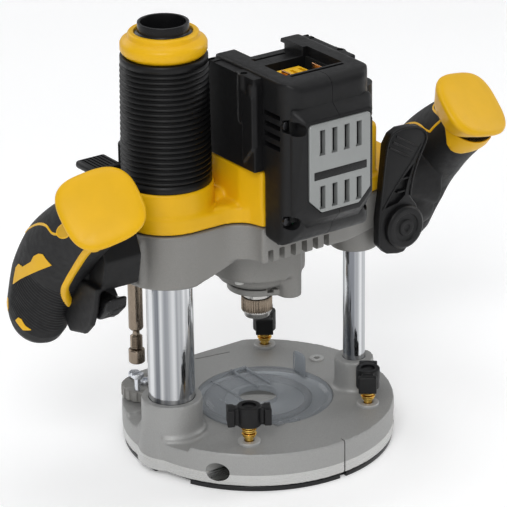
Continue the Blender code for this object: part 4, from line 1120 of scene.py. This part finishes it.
def pad_rings(side, grow=0.0):
    """Thumb pad: neck, flared wall, rounded rim and a gently domed face."""
    wide, long, lean, shift = (24.3, 23.6, 0.35, 0.0) if side < 0 else (25.8, 22.8, 0.27, -6.0)
    normal = Vector((lean * side, -0.64, 0.68)).normalized()
    u = Vector((1, 0, 0))
    u = (u - normal * u.dot(normal)).normalized()
    v = normal.cross(u)
    centre = Vector((GRIP_X * side + shift, -43, 198 - 0.5 * shift))
    shape = [(-13, 0.66), (-11, 0.72), (-8, 0.80), (-5, 0.88), (-2.6, 0.945), (-1.0, 0.985), (0.2, 1.0),
             (1.2, 0.99), (2.1, 0.96)]
    shape += [(2.8, 0.90), (3.3, 0.80), (3.7, 0.62), (3.9, 0.40), (4.0, 0.12)]
    rings = []
    for depth, share in shape:
        ring = []
        for i in range(72):
            a = math.tau * i / 72
            c, s = math.cos(a), math.sin(a)
            x = math.copysign(abs(c) ** 0.68, c) * (wide * share + grow)
            y = math.copysign(abs(s) ** 0.68, s) * (long * share + grow)
            y *= 1 + 0.05 * math.cos(a) * side
            p = centre + normal * depth + u * x + v * y
            ring.append(at(*p))
        rings.append(ring)
    return rings


class ROUTER_OT_handles(Operator):
    """Overmoulded grips with their arms and ribs, and the trigger housing"""

    bl_idname = "router.handles"
    bl_label = "Handles"

    def execute(self, context):
        for side, name in ((-1, "left"), (1, "right")):
            inner, outer = 97.3 * side, 132 * side
            arm = skin([oval_ring(inner, -3, 147, 14, 13), oval_ring(109 * side, -2, 147, 14, 16),
                        oval_ring(outer, 0, 145, 17, 22)])
            guard = skin([oval_ring(110 * side, -4, 121, 11, 11), oval_ring(outer, 6, 127, 15, 16)])
            body = moulded([arm, guard, grip_skin(side, -0.5)], (), 1.0, 8)
            wall = [(-31, 142), (-28, 128), (-23, 116), (-15, 108), (2, 104), (8, 112), (4, 142)]
            nose = [(-29, 170), (-34, 158), (-30, 139), (-4, 139), (-4, 112), (12, 104), (12, 170)]
            if side < 0:
                front = moulded([plate(nose, -130.5, -105, "X"), plate(wall, -135, -131.3, "X"),
                                 bar(7, 106, 112, (-121, 6), sides=40)], (), 0.8, 8)
                combine(front, [block((-131.2, -60, 100), (-115.8, -1, 139.5))])
                show(front, "trigger_housing", finish("black"), "head", (), 50)
            show(body, f"{name}_handle_arm", finish("grip"), "head", [f"{name}_handle"], 50)
            grip = grip_skin(side, 0.15, 230, 96, True)
            show(grip, f"{name}_grip", finish("grip"), "head", (), 60)
        return {"FINISHED"}


class ROUTER_OT_inlays(Operator):
    """Amber lines, disc, badge and accents let into the grips"""

    bl_idname = "router.inlays"
    bl_label = "Inlays"

    def execute(self, context):
        lines = [
            strand(-1, [(1.03, 184), (1.05, 172), (1.05, 150), (0.97, 122)], 0.9, 0.4),
            strand(-1, [(0.93, 184), (0.89, 177), (0.86, 160), (0.79, 147), (0.70, 138), (0.55, 127)], 1.0,
                   0.4),
            strand(1, [(0.96, 122), (0.96, 135), (1.02, 160), (1.03, 170), (0.97, 172), (0.89, 177)], 1.0,
                   0.4),
            strand(1, [(0.89, 177), (0.86, 168), (0.83, 156), (0.76, 141), (0.60, 122), (0.52, 118),
                       (0.55, 110)], 0.9, 0.4),
            strand(-1, [(1.02, 240), (0.91, 243), (0.75, 249), (0.60, 252), (0.51, 255), (0.41, 267),
                        (0.29, 291), (0.23, 312),
                        (0.20, 335)], 3.3, 2.0),
        ]
        show(together(lines), "grip_lines", finish("yellow"), "head", (), 60)
        angles = [(0.99 + 0.062 * math.cos(math.tau * i / 20), 186 +
                   10.5 * math.sin(math.tau * i / 20)) for i in range(20)]
        show(inlay(-1, angles, 0.3, 0), "grip_disc", finish("amber"), "head", (), 60)
        rim = [(0.99 + 0.066 * math.cos(math.tau * i / 28), 186 +
                11.3 * math.sin(math.tau * i / 28)) for i in range(28)]
        hoop = wire([grip_point(-1, t, a, 0.0) for t, a in rim], 0.5, True)
        show(hoop, "grip_disc_rim", finish("yellow"), "head", (), 60)
        badge = [(0.28, 171), (0.39, 163), (0.44, 166), (0.47, 177), (0.58, 186), (0.63, 184), (0.68, 187),
                 (0.71, 193),
                 (0.69, 215), (0.59, 205), (0.49, 195), (0.385, 183)]
        show(inlay(-1, badge, 0.45, 0.5), "grip_badge", finish("yellow"), "head", (), 60)
        accents = [inlay(-1, [(0.08, 193), (0.12, 198), (0.13, 205), (0.105, 214), (0.10, 227), (0.06, 212)],
                         0.45, 0.6)]
        accents.append(inlay(-1, [(0.03, 150), (0.10, 152), (0.12, 160), (0.07, 168), (0.03, 164)], 0.45,
                             1.0))
        show(together(accents), "grip_accents", finish("yellow"), "head", (), 60)
        return {"FINISHED"}


class ROUTER_OT_pads(Operator):
    """Yellow thumb pads with the necks that run down into the grips"""

    bl_idname = "router.pads"
    bl_label = "Thumb pads"

    def execute(self, context):
        for side, name in ((-1, "left"), (1, "right")):
            pad = skin(pad_rings(side))
            show(pad, f"{name}_pad", finish("yellow"), "head", [f"{name}_thumb_pad"], 60)
        neck = [(1.12, 183), (1.02, 186), (0.93, 212), (0.89, 228), (0.90, 246), (0.93, 262), (0.96, 290),
                (1.12, 318)]
        show(inlay(1, neck, 0.9, 3.0), "right_pad_neck", finish("yellow"), "head", (), 60)
        neck = [(1.12, 222), (1.02, 232), (0.97, 243), (0.98, 258), (1.10, 268)]
        show(inlay(-1, neck, 1.0, 2.0), "left_pad_neck", finish("yellow"), "head", (), 60)
        return {"FINISHED"}


class ROUTER_OT_controls(Operator):
    """Power trigger, plunge lock lever, speed dial and spindle lock button"""

    bl_idname = "router.controls"
    bl_label = "Controls"

    def execute(self, context):
        low, high = mm("power_trigger")
        y, z = high.y, low.z
        outline = [(y, z + 15), (y - 18, z + 15), (y - 26, z + 17), (low.y, high.z),
                   (low.y + 1.2, high.z - 8)]
        outline += [(y - 22, z + 3), (y - 4, z)]
        trigger = plate(outline, low.x, high.x, "X", 2.2, 4)
        show(trigger, "power_trigger_shell", finish("satin"), "trigger", ["power_trigger"],
             50)
        x, z = LEVER.x, LEVER.z
        low, high = mm("plunge_lock_lever")
        front, back = low.y, high.y
        rim = [(-18.3, -9), (-12, -16), (-3.5, -17.8), (1.4, -17.8), (7, -12), (13, -4), (13.8, 4),
               (10.5, 12), (5.5, 19)]
        rim += [(6.5, 28.5), (11, 41), (17.5, 51), (18.3, 55.5), (15.5, 60), (8, 63.5), (-3, 64), (-9, 61.5),
                (-13, 55)]
        rim += [(-16.3, 20.5), (-18.3, 8)]
        rim = [(x + dx, z + dz) for dx, dz in rim]
        paddle = plate(rim, front + 4, back - 0.5, "Y", 1.4, 3)
        web = [(8.2, 39), (3.6, 28), (1.5, 20), (-4, 16), (-13.5, 14.5), (-9.5, 21), (-3, 29)]
        hollow = plate([(x + dx, z + dz) for dx, dz in web], front - 3, front + 6.5, "Y")
        combine(paddle, [hollow])
        rings = turned([(13.8, 0.0), (13.8, 5.0), (12.2, 6.2), (9.0, 6.2), (8.6, 5.2), (5.4, 5.2),
                        (5.0, 6.4), (2.4, 6.4), (2.2, 5.6),
                        (0.0, 5.6), (0.0, 0.0)], (0, 0), 72, 0.3)
        spin = at(x, front + 6.3, z)
        lay = Matrix.Translation(spin) @ Matrix.Rotation(math.pi / 2, 4,
                                                         "X") @ Matrix.Translation((-AXIS.x, -AXIS.y, 0))
        moved(rings, lay)
        ribs = []
        for i in range(3):
            first, last = (-5.5 - 2.6 * i, 59.5 - 3.0 * i), (10.5 - 3.2 * i, 49.5 - 2.6 * i)
            ribs.append(wire([at(x + dx, front + 3.9, z + dz) for dx, dz in (first, last)], 0.7,
                             smooth=False))
        webs = [block((x - 4, front + 4.4, z + 22), (x + 3.5, front + 8, z + 23.2), 0.2),
                block((x - 2, front + 4.4, z + 30), (x + 7, front + 8, z + 31.2), 0.2)]
        edge = [at(px, front + 4.0, pz) for px, pz in rim[8:] + rim[:1]]
        ridge = [at(x + dx, front + 4.0, z + dz) for dx, dz in ((-16.5, 13), (-10.5, 21), (-4, 29.5),
                (7.6, 41), (14.5, 50.5))]
        beads = [wire(edge, 0.7), wire(ridge, 0.6)]
        lever = together([paddle, rings] + beads + ribs + webs)
        show(lever, "plunge_lock_paddle", finish("black"), "plunge_lock", ["plunge_lock_lever"],
             40)
        centre = middle("speed_dial")
        wheel = turned([(10.3, 3.2), (10.3, -3.2), (9.4, -3.8), (0, -3.8), (0, 3.8), (9.4, 3.8)], (0, 0), 72)
        knurls = []
        for i in range(24):
            notch = block((9.9, -0.7, -5), (12, 0.7, 5))
            knurls.append(moved(notch, turn_about((0, 0, 0), 15 * i)))
        combine(wheel, [together(knurls)])
        lay = Matrix.Translation(at(*centre)) @ Matrix.Rotation(math.pi / 2, 4,
                "Y") @ Matrix.Translation((-AXIS.x, -AXIS.y, 0))
        show(moved(wheel, lay), "speed_dial_wheel", finish("satin"), "speed_dial", ["speed_dial"])
        low, high = mm("spindle_lock_button")
        spot = middle("spindle_lock_button")
        button = bar(4.5, low.y, high.y, (spot.x, spot.z), "Y", sides=48, edge=0.9)
        show(button, "spindle_lock_cap", finish("satin"), "spindle_lock", ["spindle_lock_button"])
        return {"FINISHED"}


# ------------------------------------------------------------------ depth stop, clamps and spindle

def knurled(radius, low, high, spot, teeth, depth=0.35):
    """A round grip with upright teeth."""
    points = []
    for i in range(teeth * 4):
        wave = math.cos(math.tau * i / 4)
        a = math.tau * i / (teeth * 4)
        r = radius - depth * (0.5 - 0.5 * wave)
        points.append((spot[0] + r * math.cos(a), spot[1] + r * math.sin(a)))
    return plate(points, low, high, edge=0.0)


class ROUTER_OT_depth_stop(Operator):
    """Depth rod with its fine adjuster, clamp paddle and the stepped turret"""

    bl_idname = "router.depth_stop"
    bl_label = "Depth stop"

    def execute(self, context):
        low, high = mm("depth_rod")
        z = low.z
        spot = ROD.xy
        rod = [(0, high.z), (4.6, high.z), (4.6, z + 24.5), (3.9, z + 23.5), (2.2, z + 22.5), (2.2, z + 20)]
        rod += [(3.4, z + 19), (3.4, z + 11), (2.2, z + 10.4), (2.2, z), (0, z)]
        stem = turned(rod, spot, 64, 0.2)
        flats = [block((spot[0] - 6, spot[1] - 4.4 + s, z + 30),
                       (spot[0] + 6, spot[1] - 3.9 + s, high.z - 22)) for s in (0.0, 8.3)]
        combine(stem, flats)
        threads = []
        for i in range(7):
            r = z + 12.0 + 1.1 * i
            threads.append(turned([(3.9, r), (3.3, r + 0.45), (3.3, r - 0.45)], spot, 40))
        collar = turned([(5.1, z + 9.6), (4.4, z + 10.2), (2, z + 10.2), (2, z + 1), (4.4, z + 1),
                         (5.1, z + 1.8)], spot, 48, 0.2)
        rod_piece = together([stem, collar] + threads)
        show(rod_piece, "depth_rod_stem", finish("nickel"), "depth_rod", ["depth_rod"])
        low, high = mm("fine_adjust_knob")
        body = knurled(8.0, low.z, high.z - 3.0, spot, 28, 0.8)
        eased(body, 0.25, 2, 50)
        crown = turned([(7.2, high.z - 3.2), (7.2, high.z - 2.2), (5.5, high.z - 1.6), (5.5, high.z),
                        (0, high.z), (0, high.z - 3.2)],
                       spot, 48, 0.4)
        show(together([body, crown]), "fine_adjust_grip", finish("black"), "fine_adjuster",
             ["fine_adjust_knob"])
        low, high = mm("rod_clamp_lever")
        hub = bar(7.0, high.x - 9, high.x, (spot[1], 151), "X", sides=48, edge=0.8)
        arm = plate([(30, 150), (40, 150), (38.5, high.z - 4), (31.5, high.z - 4)], high.x - 8.2,
                    high.x - 3.8, "X", 1.0)
        paddle = block((low.x, low.y, high.z - 5), (high.x - 2.6, high.y, high.z), 2.2, 4)
        grooves = [block((low.x + 3.5 + 2.6 * i, low.y + 2.5, high.z - 0.7),
                         (low.x + 4.7 + 2.6 * i, high.y - 2.5, high.z + 2)) for i in range(6)]
        combine(paddle, grooves)
        show(together([hub, arm, paddle]), "rod_clamp_paddle", finish("black"), "rod_clamp",
             ["rod_clamp_lever"])
        low, high = mm("stop_turret")
        disc = turned([(15, high.z - 0.8), (15, low.z), (2.5, low.z), (2.5, high.z), (14.2, high.z)],
                      TURRET.xy, 96, 0.3)
        notches = []
        for i in range(18):
            notch = bar(1.3, low.z - 2, high.z + 2, (TURRET.x + 15.2, TURRET.y), sides=16)
            notches.append(moved(notch, turn_about(TURRET, 20 * i)))
        combine(disc, [together(notches)])
        show(disc, "stop_turret_disc", finish("cast"), "turret", ["stop_turret"])
        for i in range(3):
            name = f"stop_screw_{i + 1}"
            low, high = mm(name)
            spot = middle(name)
            shank = turned([(1.95, high.z - 2.8), (1.95, low.z), (0, low.z), (0, high.z - 2.8)], spot.xy, 24)
            head = bar(4.1, high.z - 3, high.z, spot.xy, sides=6, edge=0.35)
            combine(head,
                    [block((spot.x - 5, spot.y - 0.5, high.z - 1), (spot.x + 5, spot.y + 0.5, high.z + 2))])
            show(together([shank, head]), name + "_bolt", finish("zinc"), "turret", [name])
        low, high = mm("turret_screw")
        head = turned([(3.9, high.z - 0.5), (3.9, high.z - 2.4), (0, high.z - 2.4), (0, high.z),
                       (3.2, high.z)], TURRET.xy, 40, 0.2)
        combine(head, [bar(1.6, high.z - 1.4, high.z + 2, TURRET.xy, sides=6)])
        show(head, "turret_screw_head", finish("zinc"), "base", ["turret_screw"])
        return {"FINISHED"}


class ROUTER_OT_clamps(Operator):
    """Three lobed clamp knobs on ribbed brass studs"""

    bl_idname = "router.clamps"
    bl_label = "Clamp knobs"

    def execute(self, context):
        turns = {"front": -30, "right": 52, "back": 55}
        for name, turn in turns.items():
            spot = middle(f"{name}_clamp_stud")
            low, high = mm(f"{name}_clamp_knob")
            z = low.z
            solids = [bar(7.4, z, high.z, spot.xy, sides=48)]
            wing = block((spot.x - 13.2, spot.y - 3.6, z + 1.2), (spot.x + 13.2, spot.y + 3.6, high.z - 1.0))
            solids.append(moved(wing, turn_about(spot, turn)))
            for end in (-1, 1):
                inner, outer = sorted((spot.x + end * 9.0, spot.x + end * 13.4))
                tip = block((inner, spot.y - 5.6, z + 1.0), (outer, spot.y + 5.6, high.z - 1.2))
                solids.append(moved(tip, turn_about(spot, turn)))
            knob = moulded(solids, (), 0.45, 6)
            combine(knob, [bar(4.4, high.z - 1.6, high.z + 3, spot.xy, sides=40)])
            cap = turned([(4.1, high.z - 2), (4.1, high.z - 1.0), (0, high.z - 0.7), (0, high.z - 2)],
                         spot.xy, 40, 0.2)
            show(together([knob, cap]), f"{name}_clamp_lobes", finish("black"), f"{name}_clamp",
                 [f"{name}_clamp_knob"],
                 50)
            bottom = mm(f"{name}_clamp_stud")[0].z
            shank = [(2.6, z + 4), (2.6, bottom), (0, bottom), (0, z + 4)]
            rings = [turned(shank, spot.xy, 40)]
            for i in range(5):
                r = z - 7.4 + 1.55 * i
                wide = 4.6 if i % 2 else 3.9
                rings.append(turned([(wide, r + 0.55), (wide, r - 0.35), (2.2, r - 0.6), (2.2, r + 0.8)],
                                    spot.xy, 48, 0.15))
            rings.append(turned([(3.6, z + 0.2), (4.9, z - 0.4), (4.9, z - 1.4), (2.2, z - 1.4),
                                 (2.2, z + 0.2)], spot.xy, 48, 0.15))
            show(together(rings), f"{name}_clamp_post", finish("brass"), f"{name}_clamp",
                 [f"{name}_clamp_stud"])
        return {"FINISHED"}


class ROUTER_OT_spindle(Operator):
    """Spindle nose, knurled collet nut and the split collet"""

    bl_idname = "router.spindle"
    bl_label = "Spindle"

    def execute(self, context):
        low, high = mm("collet_nut")
        z = low.z
        nut = knurled(9.7, z + 4.0, high.z, (0, 0), 40, 0.6)
        eased(nut, 0.2, 2, 60)
        skirt = turned([(9.3, z + 4.6), (9.3, z + 3.2), (8.4, z + 2.6), (7.8, z), (6.4, z), (6.4, z + 4.6)],
                       (0, 0), 64, 0.25)
        neck = turned([(8.4, high.z + 6), (8.4, high.z + 0.3), (6.5, high.z + 0.3), (6.5, high.z + 6)],
                      (0, 0), 64, 0.2)
        show(nut, "collet_nut_grip", finish("nickel"), "spindle", ["collet_nut"])
        show(together([skirt, neck]), "spindle_nose", finish("steel"), "spindle", ())
        low, high = mm("collet")
        tube = turned([(5.9, high.z), (5.9, low.z + 1), (5.2, low.z), (3.2, low.z), (3.2, high.z)], (0, 0),
                      64, 0.1)
        slits = [moved(block((2, -0.3, low.z - 1), (7, 0.3, low.z + 12)),
                       turn_about((0, 0, 0), 60 * i)) for i in range(6)]
        combine(tube, [together(slits)])
        show(tube, "split_collet", finish("oxide"), "spindle", ["collet"])
        return {"FINISHED"}


# ------------------------------------------------------------------ stage

def area_light(name, place, aim, size, power, colour=(1, 1, 1)):
    """A soft box that faces a point, in metres."""
    bpy.ops.object.light_add(type="AREA", location=place)
    lamp = bpy.context.object
    lamp.name = name
    lamp.data.shape = "RECTANGLE"
    lamp.data.size, lamp.data.size_y = size
    lamp.data.energy = power
    lamp.data.color = colour
    lamp.rotation_euler = (Vector(aim) - Vector(place)).to_track_quat("-Z", "Y").to_euler()
    return lamp


BANDS = ((-180, 0.75), (-160, 1.0), (-140, 0.55), (-118, 0.35), (-95, 0.9), (-60, 0.5), (-35, 0.16),
         (0, 0.7), (40, 0.9), (70, 0.2),
         (100, 0.8), (140, 0.3), (180, 0.75))


def banded_world(strength):
    """Pale surroundings with darker uprights, which bright columns mirror as bands."""
    world = bpy.data.worlds.new("studio")
    world.use_nodes = True
    tree = world.node_tree
    way = tree.nodes.new("ShaderNodeTexCoord")
    split = tree.nodes.new("ShaderNodeSeparateXYZ")
    turn = tree.nodes.new("ShaderNodeMath")
    turn.operation = "ARCTAN2"
    share = tree.nodes.new("ShaderNodeMapRange")
    bands = tree.nodes.new("ShaderNodeValToRGB")
    share.inputs["From Min"].default_value = -math.pi
    share.inputs["From Max"].default_value = math.pi
    stops = bands.color_ramp.elements
    while len(stops) < len(BANDS):
        stops.new(0.5)
    for stop, (angle, value) in zip(stops, BANDS):
        stop.position = (angle + 180) / 360
    for stop, (angle, value) in zip(stops, BANDS):
        stop.color = (0.97 * value, 0.98 * value, value, 1.0)
    tree.links.new(way.outputs["Generated"], split.inputs[0])
    tree.links.new(split.outputs["Y"], turn.inputs[0])
    tree.links.new(split.outputs["X"], turn.inputs[1])
    tree.links.new(turn.outputs[0], share.inputs["Value"])
    tree.links.new(share.outputs[0], bands.inputs["Fac"])
    shader = tree.nodes["Background"]
    tree.links.new(bands.outputs["Color"], shader.inputs["Color"])
    shader.inputs["Strength"].default_value = strength
    return world


CAMERA_SPOT = (-1039.1, -1481.1, 880.8)
CAMERA_AIM = (-1.34, 0.93, 120.65)
CAMERA_ROLL = -0.7
CAMERA_LENS = 227.2
CAMERA_FILM = 36.0


class ROUTER_OT_stage(Operator):
    """Pale floor, soft studio light and the camera"""

    bl_idname = "router.stage"
    bl_label = "Stage"

    def execute(self, context):
        scene = context.scene
        lights = scene.router_lights
        floor = block((-3000, -3000, -20), (3000, 3000, 0))
        pale = Look("pale_floor", (0.86, 0.86, 0.86), 0.6)
        cloud = pale.ramp(pale.noise(300, 2), 0.3, 0.7)
        pale.feed("Base Color", pale.blend(cloud, (0.93, 0.93, 0.93), (0.95, 0.95, 0.95)))
        pale.feed("Emission Color", (1.0, 1.0, 1.0, 1.0))
        pale.feed("Emission Strength", 0.16)
        floor.name = "studio_floor"
        floor.data.materials.append(pale.material)
        aim = at(0, 0, 130)
        area_light("key_box", (-1.1, -1.2, 1.5), aim, (0.9, 0.9), lights.key)
        area_light("side_box", (1.5, -0.5, 0.9), aim, (0.5, 1.4), lights.side)
        area_light("top_box", (0.1, 0.2, 1.7), aim, (1.2, 1.2), lights.top)
        area_light("back_box", (-0.3, 1.6, 0.9), aim, (1.6, 0.6), lights.back)
        scene.world = banded_world(lights.world)
        scene.view_settings.view_transform = "Standard"
        bpy.ops.object.camera_add(location=at(*CAMERA_SPOT))
        camera = bpy.context.object
        turn = (at(*CAMERA_AIM) - camera.location).to_track_quat("-Z", "Y")
        camera.rotation_euler = (turn @ Quaternion((0, 0, 1), math.radians(CAMERA_ROLL))).to_euler()
        camera.data.lens = CAMERA_LENS
        camera.data.sensor_width = CAMERA_FILM
        camera.data.clip_end = 20
        scene.camera = camera
        return {"FINISHED"}


# ------------------------------------------------------------------ panel and registration

class RouterSizes(PropertyGroup):
    """Sizes of the visible shells, in millimetres"""

    deck: FloatProperty(name="Deck height", description="Top of the base above the floor", default=25.0,
                        min=20.0, max=28.0)
    ribs: IntProperty(name="Bellows ribs", description="Round ribs between the two cuffs", default=21, min=8,
                      max=40)
    rib_depth: FloatProperty(name="Rib depth", description="Depth of the bellows' folds", default=1.5,
                             min=0.3, max=2.5)


class RouterColours(PropertyGroup):
    """Colours of the mouldings and castings"""

    yellow: FloatVectorProperty(name="Yellow", description="Covers, collar and pads", subtype="COLOR",
                                default=(0.77, 0.43, 0.003), min=0, max=1)
    black: FloatVectorProperty(name="Black", description="Housing, grips and knobs", subtype="COLOR",
                               default=(0.0055, 0.0055, 0.006), min=0, max=1)
    casting: FloatVectorProperty(name="Casting", description="Motor casting", subtype="COLOR",
                                 default=(0.25, 0.245, 0.232), min=0, max=1)
    base: FloatVectorProperty(name="Base", description="Base casting", subtype="COLOR",
                              default=(0.36, 0.36, 0.352), min=0, max=1)


class RouterLights(PropertyGroup):
    """Power of the soft boxes"""

    key: FloatProperty(name="Key", description="Front left soft box", default=19.0, min=0, unit="POWER")
    side: FloatProperty(name="Side", description="Right soft box", default=7.0, min=0, unit="POWER")
    top: FloatProperty(name="Top", description="Overhead soft box", default=6.0, min=0, unit="POWER")
    back: FloatProperty(name="Back", description="Rear soft box", default=5.0, min=0, unit="POWER")
    world: FloatProperty(name="World", description="Strength of the pale surroundings", default=0.72, min=0)


MAKERS = (
    ROUTER_OT_finishes, ROUTER_OT_base, ROUTER_OT_sole, ROUTER_OT_insert, ROUTER_OT_columns, ROUTER_OT_outlet,
    ROUTER_OT_bellows, ROUTER_OT_casting, ROUTER_OT_cover, ROUTER_OT_housing, ROUTER_OT_grille,
    ROUTER_OT_side_covers,
    ROUTER_OT_terminals, ROUTER_OT_handles, ROUTER_OT_inlays, ROUTER_OT_pads, ROUTER_OT_controls,
    ROUTER_OT_depth_stop,
    ROUTER_OT_clamps, ROUTER_OT_spindle, ROUTER_OT_stage,
)


class ROUTER_PT_panel(Panel):
    """Sidebar panel with every maker"""

    bl_idname = "ROUTER_PT_panel"
    bl_label = "Plunge router"
    bl_space_type = "VIEW_3D"
    bl_region_type = "UI"
    bl_category = "Router"

    def draw(self, context):
        for group in (context.scene.router_sizes, context.scene.router_colours, context.scene.router_lights):
            for name in group.__annotations__:
                self.layout.prop(group, name)
        for maker in MAKERS:
            self.layout.operator(maker.bl_idname)


CLASSES = (RouterSizes, RouterColours, RouterLights, *MAKERS, ROUTER_PT_panel)


def register():
    for kind in CLASSES:
        bpy.utils.register_class(kind)
    bpy.types.Scene.router_sizes = PointerProperty(type=RouterSizes)
    bpy.types.Scene.router_colours = PointerProperty(type=RouterColours)
    bpy.types.Scene.router_lights = PointerProperty(type=RouterLights)


def unregister():
    del bpy.types.Scene.router_sizes
    del bpy.types.Scene.router_colours
    del bpy.types.Scene.router_lights
    for kind in reversed(CLASSES):
        bpy.utils.unregister_class(kind)


def main():
    register()
    for maker in MAKERS:
        getattr(bpy.ops.router, maker.bl_idname.split(".")[1])()


if __name__ == "__main__":
    main()
